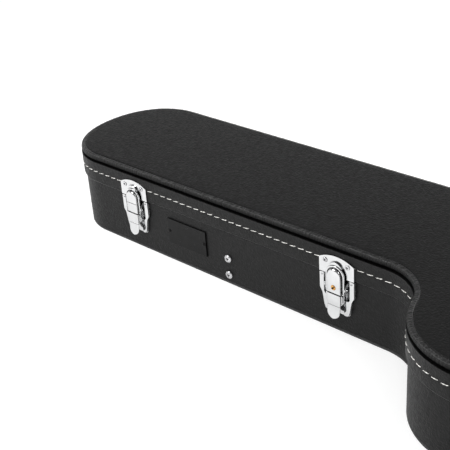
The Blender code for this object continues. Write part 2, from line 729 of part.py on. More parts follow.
def base_plate_shape(name):
    """The tray's plate, with the two ears that hold the lever's pivot."""
    front = TOUCH + LATCH_PLATE_THICKNESS
    half = LATCH_WIDTH / 2
    step = BASE_PLATE_STEP_WIDTH / 2
    low_half = BASE_PLATE_LOW_WIDTH / 2
    corner = BASE_PLATE_CORNER
    right = arc((low_half - corner, BASE_PLATE_LOW + corner), corner, -90, 0, BEND_STEPS)
    right += [(step, BASE_PLATE_STEP_LOW), (half, BASE_PLATE_STEP_TOP), (half, BASE_PLATE_TOP)]
    plate = front_solid(name, [both_sides(right)], TOUCH, front)
    inner = HASP_WIDTH / 2 + EAR_CLEARANCE
    root = TOUCH + LATCH_PLATE_THICKNESS / 2
    ear_side = [(root, EAR_LOW), (EAR_RAIL_OUT, EAR_LOW + EAR_RAIL_TAPER)]
    ear_side += arc((LEVER_PIVOT_OUT, LEVER_PIVOT_HEIGHT), EAR_REACH, -60, 60, BEND_STEPS)
    ear_side += [(EAR_RAIL_OUT, EAR_HIGH - EAR_RAIL_TAPER), (root, EAR_HIGH)]
    ears = [side_solid("ear", ear_side, low, low + EAR_THICKNESS, CUTTERS)
            for low in (inner, -inner - EAR_THICKNESS)]
    join(plate, ears + screw_heads(BASE_SCREW_RADIUS, BASE_SCREW_SPACING, BASE_SCREW_HEIGHT, front))
    bore = rod("bore", hole_radius(PIVOT_RADIUS), (-half, -LEVER_PIVOT_OUT, LEVER_PIVOT_HEIGHT),
               (half, -LEVER_PIVOT_OUT, LEVER_PIVOT_HEIGHT), collection=CUTTERS)
    return cut(plate, [bore])


def pivot_pin_shape(name):
    """The pin through the ears and the lever, with a head outside each ear."""
    inner = HASP_WIDTH / 2 + EAR_CLEARANCE + EAR_THICKNESS + TOUCH
    head = PIVOT_HEAD_HEIGHT
    profile = [(0, inner + head), (PIVOT_HEAD_RADIUS, inner + head), (PIVOT_HEAD_RADIUS, inner),
               (PIVOT_RADIUS, inner), (PIVOT_RADIUS, -inner), (PIVOT_HEAD_RADIUS, -inner),
               (PIVOT_HEAD_RADIUS, -inner - head), (0, -inner - head)]
    return turn_mesh(turned(name, profile), Matrix.Rotation(math.pi / 2, 4, "Y"))


def hasp_shape(name, locking):
    """The round-topped cap: a recessed front panel inside a raised rim, open at the back."""
    half = HASP_WIDTH / 2
    spring = HASP_TOP - half
    inner = half - HASP_WALL
    hasp = front_solid(name, [tunnel(half, spring, HASP_LOW)], HASP_BACK, HASP_FRONT)
    panel_back = HASP_PANEL_FRONT - HASP_PANEL_THICKNESS
    below = HASP_LOW - PAST
    outside = HASP_FRONT + PAST
    cutters = [front_solid("inside", [tunnel(inner, spring, below)], 0, panel_back, CUTTERS),
               front_solid("recess", [tunnel(inner, spring, below)], HASP_PANEL_FRONT, outside, CUTTERS),
               box("opening", (-inner, -outside, below), (inner, 0, HASP_PANEL_LOW), CUTTERS),
               rod("bore", hole_radius(PIVOT_RADIUS), (-half - PAST, -LINK_PIVOT_OUT, LINK_PIVOT_HEIGHT),
                   (half + PAST, -LINK_PIVOT_OUT, LINK_PIVOT_HEIGHT), collection=CUTTERS)]
    if locking:
        cutters.append(rod("lock_bore", hole_radius(LOCK_RADIUS), (0, 0, LOCK_HEIGHT),
                           (0, -outside, LOCK_HEIGHT), collection=CUTTERS))
    return cut(hasp, cutters)


def lever_shape(name):
    """The thumb lever: a flanged panel with a round end, two arms to its pivot and a link pin."""
    flange_half = HASP_WIDTH / 2
    top_half = flange_half - HASP_WALL - LEVER_SIDE_CLEARANCE
    thumb = THUMB_WIDTH / 2
    right = arc((0, THUMB_LOW + thumb), thumb, -90, 0)
    right += [(thumb, TAB_SHOULDER), (flange_half, LEVER_FLANGE_LOW), (flange_half, LEVER_FLANGE_TOP),
              (top_half, LEVER_FLANGE_TOP), (top_half, LEVER_PANEL_TOP)]
    front = LEVER_PANEL_FRONT
    back = front - LEVER_PANEL_THICKNESS
    lift = THUMB_LIFT
    lever = side_solid(name, [(back, LEVER_PANEL_TOP), (back, TAB_SHOULDER), (back + lift, THUMB_LOW),
                              (front + lift, THUMB_LOW), (front, TAB_SHOULDER),
                              (front, LEVER_PANEL_TOP)], -flange_half, flange_half)
    outline = front_solid("outline", [both_sides(right)], 0, front + lift + PAST, CUTTERS)
    combine(lever, [outline], "INTERSECT")

    middle = (front + back) / 2
    taper = LEVER_FLANGE_LOW + LEVER_FLANGE_TAPER
    flange_side = [(middle, LEVER_FLANGE_LOW), (HASP_FRONT, taper), (HASP_FRONT, LEVER_FLANGE_TOP),
                   (HASP_BACK, LEVER_FLANGE_TOP), (HASP_BACK, taper)]
    flanges = [side_solid("flange", flange_side, x, x + HASP_WALL, CUTTERS)
               for x in (-flange_half, flange_half - HASP_WALL)]
    pivot = (LEVER_PIVOT_OUT, LEVER_PIVOT_HEIGHT)
    arm_side = [(middle, LEVER_FLANGE_LOW), (middle, LINK_PIVOT_HEIGHT)]
    arm_side += [(LEVER_PIVOT_OUT + ARM_BOSS_RADIUS, LEVER_PANEL_TOP)]
    arm_side += arc(pivot, ARM_BOSS_RADIUS, 0, 180)
    arm_side += [(ARM_BACK, LEVER_FLANGE_TOP)]
    arms = [side_solid("arm", arm_side, x, x + ARM_THICKNESS, CUTTERS)
            for x in (-top_half, top_half - ARM_THICKNESS)]
    link = (-LINK_PIVOT_OUT, LINK_PIVOT_HEIGHT)
    reach = flange_half - TOUCH
    knuckle = [rod("knuckle", KNUCKLE_RADIUS, (-top_half, *link), (top_half, *link), SMALL_STEPS, CUTTERS),
               rod("link_pin", PIVOT_RADIUS, (-reach, *link), (reach, *link), collection=CUTTERS)]
    join(lever, arms + flanges + knuckle)
    bore = rod("bore", hole_radius(PIVOT_RADIUS), (-flange_half - PAST, -pivot[0], pivot[1]),
               (flange_half + PAST, -pivot[0], pivot[1]), collection=CUTTERS)
    return cut(lever, [bore])


def lock_shape(name):
    """The lock's plug, with its key slot."""
    back = HASP_PANEL_FRONT - HASP_PANEL_THICKNESS - LOCK_PROUD
    front = HASP_PANEL_FRONT + LOCK_PROUD
    plug = rod(name, LOCK_RADIUS, (0, -back, LOCK_HEIGHT), (0, -front, LOCK_HEIGHT))
    half = KEYHOLE_WIDTH / 2
    reach = LOCK_RADIUS - KEYHOLE_WIDTH
    slot = box("slot", (-half, -front - PAST, LOCK_HEIGHT - reach),
               (half, -front + KEYHOLE_DEPTH, LOCK_HEIGHT + reach), CUTTERS)
    return cut(plug, [slot])


def make_latches(chrome, brass):
    """Four latches: two on the neck's front, one on the body's front and one on the tail."""
    body_x = BODY_STRAIGHT_END - LATCH_TO_TAIL_CORNER
    places = [((from_tip(LATCH_FROM_TIP), -NECK_WIDTH / 2, TRAY_HEIGHT), 0.0),
              ((NECK_STRAIGHT_END - LATCH_TO_FLARE, -NECK_WIDTH / 2, TRAY_HEIGHT), 0.0),
              ((body_x, -BODY_WIDTH / 2, TRAY_HEIGHT), 0.0),
              ((TOTAL_LENGTH / 2, 0, TRAY_HEIGHT), math.pi / 2)]
    lever_axis = (0, -LEVER_PIVOT_OUT, LEVER_PIVOT_HEIGHT)
    link_axis = (0, -LINK_PIVOT_OUT, LINK_PIVOT_HEIGHT)
    models = {"catch_plate": finish(catch_plate_shape("catch_plate"), chrome),
              "base_plate": finish(base_plate_shape("base_plate"), chrome),
              "lever": finish(lever_shape("lever"), chrome, origin=lever_axis),
              "hasp": finish(hasp_shape("hasp", False), chrome, origin=link_axis),
              "pivot_pin": finish(pivot_pin_shape("pivot_pin"), chrome)}
    models["pivot_pin"].location = lever_axis
    locking_hasp = finish(hasp_shape("locking_hasp", True), chrome, origin=link_axis)
    for number, (location, turn) in enumerate(places, start=1):
        place = make_place(f"latch_{number}_place", location, turn)
        locking = number == LOCKING_LATCH
        for part, model in models.items():
            chosen = locking_hasp if locking and part == "hasp" else model
            copy_of(chosen, f"latch_{number}_{part}", place)
        if locking:
            finish(lock_shape("lock_plug"), brass, place, (0, -HASP_FRONT, LOCK_HEIGHT))
    remove_models([*models.values(), locking_hasp])


# Hinges, modelled like the latches and turned to face the back
def hinge_leaf(name, back, low, high, arm_low, arm_high, knuckles):
    """A leaf plate with arms that reach out to its knuckles."""
    half = HINGE_WIDTH / 2
    axis_out = LID_PROUD + HINGE_AXIS_OUT
    axis = (-axis_out, LID_RIM)
    leaf = box(name, (-half, -back - HINGE_LEAF_THICKNESS, low), (half, -back, high))
    pieces = []
    for left, right in knuckles:
        pieces.append(box("arm", (left, -axis_out, arm_low), (right, -back - TOUCH, arm_high), CUTTERS))
        pieces.append(rod("knuckle", HINGE_KNUCKLE_RADIUS, (left, *axis), (right, *axis),
                          collection=CUTTERS))
    join(leaf, pieces)
    bore = rod("bore", hole_radius(HINGE_PIN_RADIUS), (-half - PAST, *axis), (half + PAST, *axis),
               collection=CUTTERS)
    return cut(leaf, [bore])


def hinge_pin_shape(name):
    reach = HINGE_WIDTH / 2 + HINGE_KNUCKLE_GAP
    head = HINGE_PIN_HEAD_HEIGHT
    profile = [(0, reach + head), (HINGE_PIN_HEAD_RADIUS, reach + head),
               (HINGE_PIN_HEAD_RADIUS, reach), (HINGE_PIN_RADIUS, reach),
               (HINGE_PIN_RADIUS, -reach), (HINGE_PIN_HEAD_RADIUS, -reach),
               (HINGE_PIN_HEAD_RADIUS, -reach - head), (0, -reach - head)]
    return turn_mesh(turned(name, profile), Matrix.Rotation(math.pi / 2, 4, "Y"))


def hinge_places():
    first = BODY_STRAIGHT_START + HINGE_TO_STRAIGHT_END
    last = BODY_STRAIGHT_END - HINGE_TO_STRAIGHT_END
    return [first, (first + last) / 2, last]


def make_hinges(steel):
    middle = HINGE_MIDDLE_KNUCKLE / 2
    end = HINGE_WIDTH / 2
    outer = [(-end, -middle - HINGE_KNUCKLE_GAP), (middle + HINGE_KNUCKLE_GAP, end)]
    axis = (0, -LID_PROUD - HINGE_AXIS_OUT, LID_RIM)
    tray_arm_high = LID_RIM - HINGE_ARM_CLEARANCE
    lid_arm_low = LID_RIM + HINGE_ARM_CLEARANCE
    tray_leaf_top = tray_arm_high - HINGE_ARM_CLEARANCE
    lid_leaf_low = LID_RIM + HINGE_KNUCKLE_RADIUS
    tray_leaf = hinge_leaf("tray_leaf", TOUCH, tray_leaf_top - HINGE_LEAF_LENGTH, tray_leaf_top,
                           tray_arm_high - HINGE_ARM_DEPTH, tray_arm_high, outer)
    lid_leaf = hinge_leaf("lid_leaf", LID_PROUD + TOUCH, lid_leaf_low, lid_leaf_low + HINGE_LEAF_LENGTH,
                          lid_arm_low, lid_arm_low + HINGE_ARM_DEPTH, [(-middle, middle)])
    models = {"tray_leaf": finish(tray_leaf, steel),
              "lid_leaf": finish(lid_leaf, steel, origin=axis),
              "pin": finish(hinge_pin_shape("pin"), steel)}
    models["pin"].location = axis
    for number, x in enumerate(hinge_places(), start=1):
        place = make_place(f"hinge_{number}_place", (x, BODY_WIDTH / 2, 0), math.pi)
        for part, model in models.items():
            copy_of(model, f"hinge_{number}_{part}", place)
    remove_models(models.values())


# Handle
def grip_route():
    """The grip's centre line at rest, hanging from its two eyes."""
    half = HANDLE_SPAN / 2
    low = HANDLE_AXIS_HEIGHT - HANDLE_DROP
    bend = arc((-half + HANDLE_BEND, low + HANDLE_BEND), HANDLE_BEND, 180, 270, BEND_STEPS)
    below_pin = HANDLE_AXIS_HEIGHT - (HANDLE_PIN_RADIUS + HANDLE_EYE_RADIUS) / 2
    left = [(-half, below_pin)] + bend
    return left + [(0, low)] + [(-x, z) for x, z in reversed(left)]


def make_handle(rubber, steel):
    place = make_place("handle_place", (BODY_STRAIGHT_START + HANDLE_TO_FLARE, -BODY_WIDTH / 2, 0))
    axis = (0, -HANDLE_AXIS_OUT, HANDLE_AXIS_HEIGHT)
    half = HANDLE_SPAN / 2
    route = grip_route()
    curve = bpy.data.curves.new("grip", "CURVE")
    curve.dimensions = "3D"
    curve.bevel_depth = HANDLE_GRIP_RADIUS
    curve.bevel_resolution = GRIP_STEPS
    curve.use_fill_caps = True
    spline = curve.splines.new("POLY")
    spline.points.add(len(route) - 1)
    thin = HANDLE_END_RADIUS / HANDLE_GRIP_RADIUS
    for point, (x, z) in zip(spline.points, route):
        point.co = (x, -HANDLE_AXIS_OUT, z, 1)
        spread = min(1.0, max(0.0, (half - abs(x)) / HANDLE_BEND))
        point.radius = thin + (1 - thin) * spread
    grip = bake_place(curve_to_mesh(make_object("handle_grip", curve)))
    eye_half = HANDLE_EYE_WIDTH / 2
    eyes = [rod("eye", HANDLE_EYE_RADIUS, (x - eye_half, axis[1], axis[2]),
                (x + eye_half, axis[1], axis[2]), collection=CUTTERS) for x in (-half, half)]
    join(grip, eyes)
    bores = [rod("bore", hole_radius(HANDLE_PIN_RADIUS), (x - eye_half - PAST, axis[1], axis[2]),
                 (x + eye_half + PAST, axis[1], axis[2]), collection=CUTTERS) for x in (-half, half)]
    cut(grip, bores)
    finish(grip, rubber, place, axis)
    for x, side in ((-half, "left"), (half, "right")):
        finish(bracket_shape(f"handle_bracket_{side}", x), steel, place)
        reach = eye_half + BRACKET_EAR_CLEARANCE + BRACKET_EAR_THICKNESS + TOUCH
        pin = rod(f"handle_pin_{side}", HANDLE_PIN_RADIUS, (x - reach, axis[1], axis[2]),
                  (x + reach, axis[1], axis[2]))
        finish(pin, steel, place, (x, axis[1], axis[2]))


def bracket_shape(name, x):
    """A plate with two ears that hold one end of the handle."""
    wide = BRACKET_WIDTH / 2
    tall = BRACKET_HEIGHT / 2
    front = TOUCH + BRACKET_THICKNESS
    centre = HANDLE_AXIS_HEIGHT
    plate = box(name, (x - wide, -front, centre - tall), (x + wide, -TOUCH, centre + tall))
    half_ear = BRACKET_EAR_HALF_HEIGHT
    ear_side = [(TOUCH * 2, centre - half_ear)]
    ear_side += arc((HANDLE_AXIS_OUT, centre), half_ear, -90, 90)
    ear_side += [(TOUCH * 2, centre + half_ear)]
    inner = HANDLE_EYE_WIDTH / 2 + BRACKET_EAR_CLEARANCE
    ears = [side_solid("ear", ear_side, x + low, x + low + BRACKET_EAR_THICKNESS, CUTTERS)
            for low in (inner, -inner - BRACKET_EAR_THICKNESS)]
    join(plate, ears)
    bore = rod("bore", hole_radius(HANDLE_PIN_RADIUS), (x - wide, -HANDLE_AXIS_OUT, centre),
               (x + wide, -HANDLE_AXIS_OUT, centre), collection=CUTTERS)
    return cut(plate, [bore])


def clear_scene():
    for piece in list(bpy.data.objects):
        bpy.data.objects.remove(piece)


def main():
    clear_scene()
    bpy.context.scene.collection.children.link(PARTS)
    bpy.context.scene.collection.children.link(CUTTERS)
    vinyl = make_material("black_vinyl", (0.035, 0.035, 0.035), 0.55)
    plush = make_material("plush_lining", (0.05, 0.05, 0.055), 0.95)
    board = make_material("covered_board", (0.06, 0.055, 0.05), 0.8)
    chrome = make_material("chrome", (0.80, 0.80, 0.80), 0.12, 1.0)
    steel = make_material("plated_steel", (0.70, 0.70, 0.70), 0.25, 1.0)
    brass = make_material("lock_brass", (0.75, 0.42, 0.14), 0.3, 1.0)
    plate = make_material("name_plate_plastic", (0.03, 0.03, 0.032), 0.35)
    rubber = make_material("handle_vinyl", (0.02, 0.02, 0.02), 0.5)
    ribbon = make_material("ribbon", (0.04, 0.04, 0.04), 0.9)

    wall, liner, floor = make_tray(vinyl, plush)
    cradle = make_neck_cradle(plush)
    make_cradle_screws([(wall, vinyl), (liner, plush), (floor, plush), (cradle, plush)], steel)
    make_body_cradle(plush)
    make_side_pad(plush)
    make_compartment(board, plush, steel, ribbon)
    make_name_plate(plate)
    make_lid(vinyl, plush, board)
    make_latches(chrome, brass)
    make_hinges(steel)
    make_handle(rubber, steel)


main()
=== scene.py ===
"""Electric guitar case, lying closed on a pale floor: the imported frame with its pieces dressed."""
from contextlib import contextmanager
import json
import math

import bmesh
import bpy
from mathutils import Matrix, Vector, noise


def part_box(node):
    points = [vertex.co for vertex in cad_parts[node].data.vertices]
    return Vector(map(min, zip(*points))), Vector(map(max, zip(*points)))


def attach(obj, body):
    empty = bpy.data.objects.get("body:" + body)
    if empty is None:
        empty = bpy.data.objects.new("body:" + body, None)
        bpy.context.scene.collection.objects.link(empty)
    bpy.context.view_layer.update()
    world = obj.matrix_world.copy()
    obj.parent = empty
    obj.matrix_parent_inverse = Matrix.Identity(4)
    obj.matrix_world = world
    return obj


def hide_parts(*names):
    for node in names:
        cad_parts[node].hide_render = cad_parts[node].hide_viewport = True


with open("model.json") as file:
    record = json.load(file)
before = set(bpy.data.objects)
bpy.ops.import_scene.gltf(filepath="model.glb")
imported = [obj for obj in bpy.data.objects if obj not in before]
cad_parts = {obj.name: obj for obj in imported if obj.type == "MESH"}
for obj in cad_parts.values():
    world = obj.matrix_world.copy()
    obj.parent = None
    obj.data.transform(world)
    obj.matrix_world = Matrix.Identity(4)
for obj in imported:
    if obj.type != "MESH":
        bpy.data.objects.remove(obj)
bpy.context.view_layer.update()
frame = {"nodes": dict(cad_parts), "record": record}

MM = 0.001
BODY_OF = {node: body for body, nodes in frame["record"]["behaviour"]["bodies"].items()
           for node in nodes}
SLOT_OF = {part["node"]: part["material_slot"] for part in frame["record"]["subparts"]}

# Plan of the case, seen from above, in metres
TIP_X = -0.535
END_DEPTH = 0.076
END_POWER = 2.13
NECK_HALF = 0.0875
NECK_END = -0.015067
FLARE_NECK_RADIUS = 0.060
FLARE_BODY_RADIUS = 0.085
FLARE_ANGLE = 75.01
BODY_START = 0.125
BODY_END = 0.415
BODY_HALF = 0.195
TAIL_RADIUS = 0.120
TAIL_X = 0.535

# Heights, and insets from the tray's side, in millimetres
RIM = 71.0
LID_LOW = 71.4
LID_PROUD = 2.5
LID_FACE = -LID_PROUD
LIP_HIGH = LID_LOW + 1.6
BEAD_HEIGHT = 106.05
BEAD_RADIUS = 4.2
BEAD_START, BEAD_SWEEP = -118, 166
BEAD_INSET = LID_FACE + 0.4 + BEAD_RADIUS
CREASE = LID_FACE + 6.4

# Stitches, in millimetres. The lid has a shallow dip along their row.
STITCH_HEIGHT = 87.2
STITCH_PITCH = 11.25
STITCH_LENGTH = 9.0
STITCH_RADIUS = 0.50
STITCH_SLANT = 1.1
DIP_HALF = 1.8
DIP_DEPTH = 0.35

# Sections of the bands round the case, as (inset, height, rounding) corners in millimetres
BOTTOM_SECTION = [(40, 0, 0), (0, 0, 0.8), (0, 2.7, 0.5), (1.3, 3.1, 0.2), (40, 3.1, 0)]
TRAY_SECTION = [(9, 3.2, 0), (1.3, 3.2, 0.2), (0, 3.7, 0.5), (0, RIM, 0.9), (9, RIM, 0.9)]
LID_SECTION = [(6.5, LID_LOW, 0.6), (LID_FACE, LID_LOW, 2.0),
               (LID_FACE, STITCH_HEIGHT - DIP_HALF, 0.4),
               (LID_FACE + DIP_DEPTH, STITCH_HEIGHT, 0.6),
               (LID_FACE, STITCH_HEIGHT + DIP_HALF, 0.4), (LID_FACE, 99.0, 0.5),
               (LID_FACE - 0.2, 100.2, 0.9), (LID_FACE + 1.0, 100.4, 0.6), (0.6, 99.4, 0.4),
               (4.8, 99.4, 0.3), (4.8, 104.0, 0.2), (6.5, 104.0, 0.3)]
TOP_UNDERSIDE = [(40, 104.3), (5.2, 104.3)]
TOP_SECTION = [(CREASE - 1.2, 109.6, 0), (CREASE, 108.7, 0.5), (CREASE + 0.9, 109.6, 0.5),
               (CREASE + 4, 109.8, 1.5), (30, 110.1, 6), (52, 110.25, 0)]
LINER_SECTION = [(9.3, 3.4, 0.4), (9.3, 79, 1.4), (12.3, 79, 1.4), (12.3, 3.4, 0.4)]
FLOOR_SECTION = [(60, 3.4, 0), (12.8, 3.4, 1.5), (12.8, 12.6, 3.4), (20, 13.2, 3.4), (60, 13.3, 0)]
LINING_SECTION = [(52, 99.6, 0), (7.0, 99.6, 1.0), (7.0, 96.6, 1.6), (18, 95.8, 4.0), (52, 95.7, 0)]

# Latches: x and y in metres, and the turn of their front
LATCHES = {1: (-0.3902, -0.0875, 0.0), 2: (-0.077067, -0.0875, 0.0),
           3: (0.370, -0.195, 0.0), 4: (0.535, 0.0, math.pi / 2)}
LOCKING_LATCH = 2
HINGES = (1, 2, 3)

# A latch in its own millimetres: across, up from the rim and out from the tray's side. Arcs are
# (height of the centre, radius, first and last angle).
PANEL_OUT = 9.55
SPRING_UP = 2.1
CATCH_FOOT = (22.5, 0.4)
CATCH_ARC = (-19.53, 43.33, 58.7, 121.3)
GUARD_ARCS = [(9.4, 8.2, 16, 164), (SPRING_UP, 12.35, 129.5, 50.5)]
BOSS_HALF = 8.8
BOSS_FOOT = 2.0
HASP_HALF = 11.95
HASP_FOOT = -18.9
HASP_FLANGE = [(0, 5.4, 0.3), (0, 7.05, 0.4), (1.8, 7.05, 0.3), (1.85, 6.2, 0.1), (2.9, 6.2, 0.1),
               (2.9, 5.4, 0.3)]
PANEL_LOW = -18.1
PANEL_HALF = 9.1
HASP_RINGS = [(PANEL_HALF, 2.2, 6.15), (9.0, 2.2, 7.4), (8.9, 2.0, 8.2),
              (8.75, 1.8, 8.8), (8.55, 1.5, 9.2), (8.3, 1.3, 9.45), (8.1, 1.2, PANEL_OUT)]
PRESSED_LINE = (30, 0.8, 0.7)
LEVER_TOP = -19.4
LEVER_CREASE = -33.3
CREASE_HALF = 0.19
CREASE_DEPTH = 0.8
CREASE_ROWS = (-0.21, -0.17, 0.17, 0.21)
LEVER_WALL = 1.4
ARMS_OUT = 7.6
LINK_OUT = 8.0
LINK_UP = -17.5
LINK_RADIUS = 0.7
LINK_HALF = 9.2
FLANGE_END = -27.0
FLANGE_FADE = 6.0
FLANGE_WIDTH = 3.25
THUMB_HALF = 8.25
THUMB_CENTRE = -40.7
THUMB_BEND = -33.5
THUMB_LENGTH = 15.7
THUMB_LIFT = 1.8
WING_OUT = 3.6
WING = [(17.0, -0.9, 0.6), (22.4, -0.9, 0.8), (22.4, -20.6, 2.0), (19.2, -25.7, 2.0),
        (16.6, -41, 4.0), (14.4, -45.6, 3.4), (9.4, -45.6, 1.0), (9.4, -26.6, 0.5),
        (15.2, -26.6, 1.0), (17.0, -24.0, 1.0)]
LOCK_UP = -11.0
LOCK_HOLE = 3.15
LOCK_RINGS = [(3.0, 8.0), (3.0, 9.75), (2.7, 10.0), (2.3, 10.05)]
KEY_SLOT = (5.2, 2.6, 1.9)

# Screw heads: out from the side, radius and height, in millimetres
CATCH_SCREW = (3.85, 2.85, 1.2)
BASE_SCREW = (WING_OUT, 1.3, 0.5)
LID_SCREW = (4.0, 2.7, 1.2)
TRAY_SCREW = (1.5, 2.7, 1.2)
PLATE_SCREW = (1.75, 2.35, 1.0)
CRADLE_SCREW = (0.3, 5.15, 2.45)
HANDLE_SCREW = (1.6, 2.7, 1.2)
CROSS_REACH = 0.62
CROSS_HALF = 0.15

# Where they are: x in metres, and across and up in millimetres
CATCH_SCREWS = [(-14.5, 15.8), (14.5, 15.8)]
BASE_SCREWS = [(-19, -3.6), (19, -3.6)]
LEAF_SCREWS = (-13, 13)
LID_SCREWS_UP = 91.5
TRAY_SCREWS_UP = 53.5
PLATE_X = -0.3038
PLATE_SCREWS = [(-29, 42), (29, 42)]
CRADLE_X = -0.2375
CRADLE_SCREWS_UP = {"low": 12.8, "high": 34.9}
BRACKETS_X = {"left": 0.213 - 0.062, "right": 0.213 + 0.062}
HANDLE_SCREWS_UP = {"low": 35.2, "high": 60.8}

# Strips of the padded top's edge, from below: lowest height, roughness and specular level. Their
# specular levels paint shade on the edge's underside and a highlight along its upper part.
EDGE_SHADE_STRIPS = [(101.0, 0.60, 0.05), (102.5, 0.58, 0.08), (103.8, 0.54, 0.12), (105.0, 0.48, 0.18),
               (106.6, 0.38, 0.34), (108.2, 0.30, 0.66)]

# The world's strength for the camera, as light, and for metal above the sweep, which fades between
# two heights of a ray
WORLD_SEEN = 1.0
WORLD_LIGHT = 0.51
ROOM_DIM = 0.18
SWEEP_FADE = (0.20, 0.50)
# The floor's glow for the camera, for metal and as light, and half its width in metres
FLOOR_GLOW = (0.34, 0.11, 0.0)
FLOOR_HALF = 6.0
# Lamps: place, aim, width in metres, watts, and whether metal reflects them
LAMPS = {"key": ((-0.66, -0.70, 0.98), (0.1, 0, 0.05), 0.5, 7, True),
         "side": ((-2.2, -1.3, 0.9), (-0.3, 0, 0.05), 1.2, 24, False),
         "front": ((1.2, -2.2, 0.8), (0.1, 0, 0.05), 1.2, 24, False),
         "fill": ((1.3, 0.6, 1.7), (0, 0, 0.05), 1.2, 30, True)}

# Camera, fitted to the photograph's edges. Its turns are yaw, pitch and roll.
CAMERA_PLACE = (0.45427, -0.78855, 0.61523)
CAMERA_TURNS = [math.radians(angle) for angle in (134.68, 28.54, -4.37)]
CAMERA_LENS = 78.05


def set_inputs(node, values):
    for socket, value in values.items():
        node.inputs[socket].default_value = value


# Materials
class Look:
    """A Principled material, with short calls for the textures that feed it."""

    def __init__(self, name, colour, roughness, metallic=0.0, specular=0.5, sheen=0.0):
        self.name = name
        self.material = bpy.data.materials.new(name)
        self.material.use_nodes = True
        self.tree = self.material.node_tree
        self.shader = self.tree.nodes["Principled BSDF"]
        set_inputs(self.shader, {"Base Color": (*colour, 1.0), "Roughness": roughness,
                                 "Metallic": metallic, "Specular IOR Level": specular,
                                 "Sheen Weight": sheen})
        self.coordinates = self.add("ShaderNodeTexCoord")
        self.normal = None

    def add(self, kind):
        return self.tree.nodes.new(kind)

    def link(self, output, target):
        self.tree.links.new(output, target)

    def place(self, source="Object", stretch=(1, 1, 1)):
        mapping = self.add("ShaderNodeMapping")
        set_inputs(mapping, {"Scale": stretch})
        self.link(self.coordinates.outputs[source], mapping.inputs["Vector"])
        return mapping.outputs["Vector"]

    def noise(self, scale, detail=3.0, source="Object", stretch=(1, 1, 1)):
        texture = self.add("ShaderNodeTexNoise")
        set_inputs(texture, {"Scale": scale, "Detail": detail})
        self.link(self.place(source, stretch), texture.inputs["Vector"])
        return texture.outputs["Fac"]

    def pebbles(self, scale):
        texture = self.add("ShaderNodeTexVoronoi")
        texture.feature = "SMOOTH_F1"
        set_inputs(texture, {"Scale": scale})
        self.link(self.place(), texture.inputs["Vector"])
        return texture.outputs["Distance"]

    def ribs(self, scale, axis):
        texture = self.add("ShaderNodeTexWave")
        texture.bands_direction = axis
        set_inputs(texture, {"Scale": scale, "Distortion": 0.4})
        self.link(self.place(), texture.inputs["Vector"])
        return texture.outputs["Fac"]

    def blend(self, first, second, share):
        """The first texture plus a share of the second."""
        mix = self.add("ShaderNodeMath")
        mix.operation = "MULTIPLY_ADD"
        set_inputs(mix, {1: share})
        self.link(second, mix.inputs[0])
        self.link(first, mix.inputs[2])
        return mix.outputs[0]

    def span(self, value, low, high, start=0.3, end=0.7):
        """Maps a texture onto low to high."""
        ramp = self.add("ShaderNodeMapRange")
        set_inputs(ramp, {"From Min": start, "From Max": end, "To Min": low, "To Max": high})
        self.link(value, ramp.inputs["Value"])
        return ramp.outputs["Result"]

    def colour(self, value, dark, light, start=0.3, end=0.7):
        """Colours the surface from dark to light where the texture runs from start to end."""
        ramp = self.add("ShaderNodeValToRGB")
        ramp.color_ramp.elements[0].position = start
        ramp.color_ramp.elements[0].color = (*dark, 1.0)
        ramp.color_ramp.elements[1].position = end
        ramp.color_ramp.elements[1].color = (*light, 1.0)
        self.link(value, ramp.inputs["Fac"])
        self.link(ramp.outputs["Color"], self.shader.inputs["Base Color"])

    def paint_crevice_shade(self, distance, floor, start, end):
        """Darkens the colour where the metal stands close to other faces, as in its seams: painted
        shade and painted dark reflections of the nearby parts.
        """
        near = self.add("ShaderNodeAmbientOcclusion")
        near.samples = 12
        set_inputs(near, {"Distance": distance * MM})
        mix = self.add("ShaderNodeMix")
        mix.data_type = "RGBA"
        mix.blend_type = "MULTIPLY"
        set_inputs(mix, {"Factor": 1.0})
        colour = self.shader.inputs["Base Color"].links[0].from_socket
        self.link(colour, mix.inputs["A"])
        self.link(self.span(near.outputs["AO"], floor, 1.0, start, end), mix.inputs["B"])
        self.link(mix.outputs["Result"], self.shader.inputs["Base Color"])

    def rough(self, value, low, high, start=0.3, end=0.7):
        self.link(self.span(value, low, high, start, end), self.shader.inputs["Roughness"])

    def bump(self, height, depth, strength=1.0):
        """Adds a relief of the given depth in millimetres, over the ones added before."""
        bump = self.add("ShaderNodeBump")
        set_inputs(bump, {"Strength": strength, "Distance": depth * MM})
        self.link(height, bump.inputs["Height"])
        if self.normal is not None:
            self.link(self.normal, bump.inputs["Normal"])
        self.normal = bump.outputs["Normal"]
        self.link(self.normal, self.shader.inputs["Normal"])


def grey(value):
    """A grey with a trace of blue."""
    return (value, value, value * 1.02)


def vinyl_look(name, dark=0.002, light=0.056, rough=(0.42, 0.58), specular=0.26):
    """Pebble-grained vinyl, with a slight unevenness from the plywood under it."""
    look = Look(name, grey(light), rough[0], specular=specular)
    grain = look.pebbles(460)
    mottling = look.noise(350, 4)
    height = look.blend(grain, look.noise(900, 3), 0.7)
    look.colour(look.blend(look.noise(60, 3), mottling, 2.2), grey(dark), grey(light), 1.43, 1.81)
    look.rough(look.noise(260, 4), *rough)
    look.bump(look.noise(9, 1), 1.2, 0.12)
    look.bump(height, 0.36)
    return look


def edge_look(name, rough, specular):
    """Vinyl pulled round the padded edge, finely wrinkled across it."""
    look = vinyl_look(name, rough=rough, specular=specular)
    look.bump(look.noise(1.0, 3, "UV", (420, 110, 1)), 2.0, 0.9)
    return look


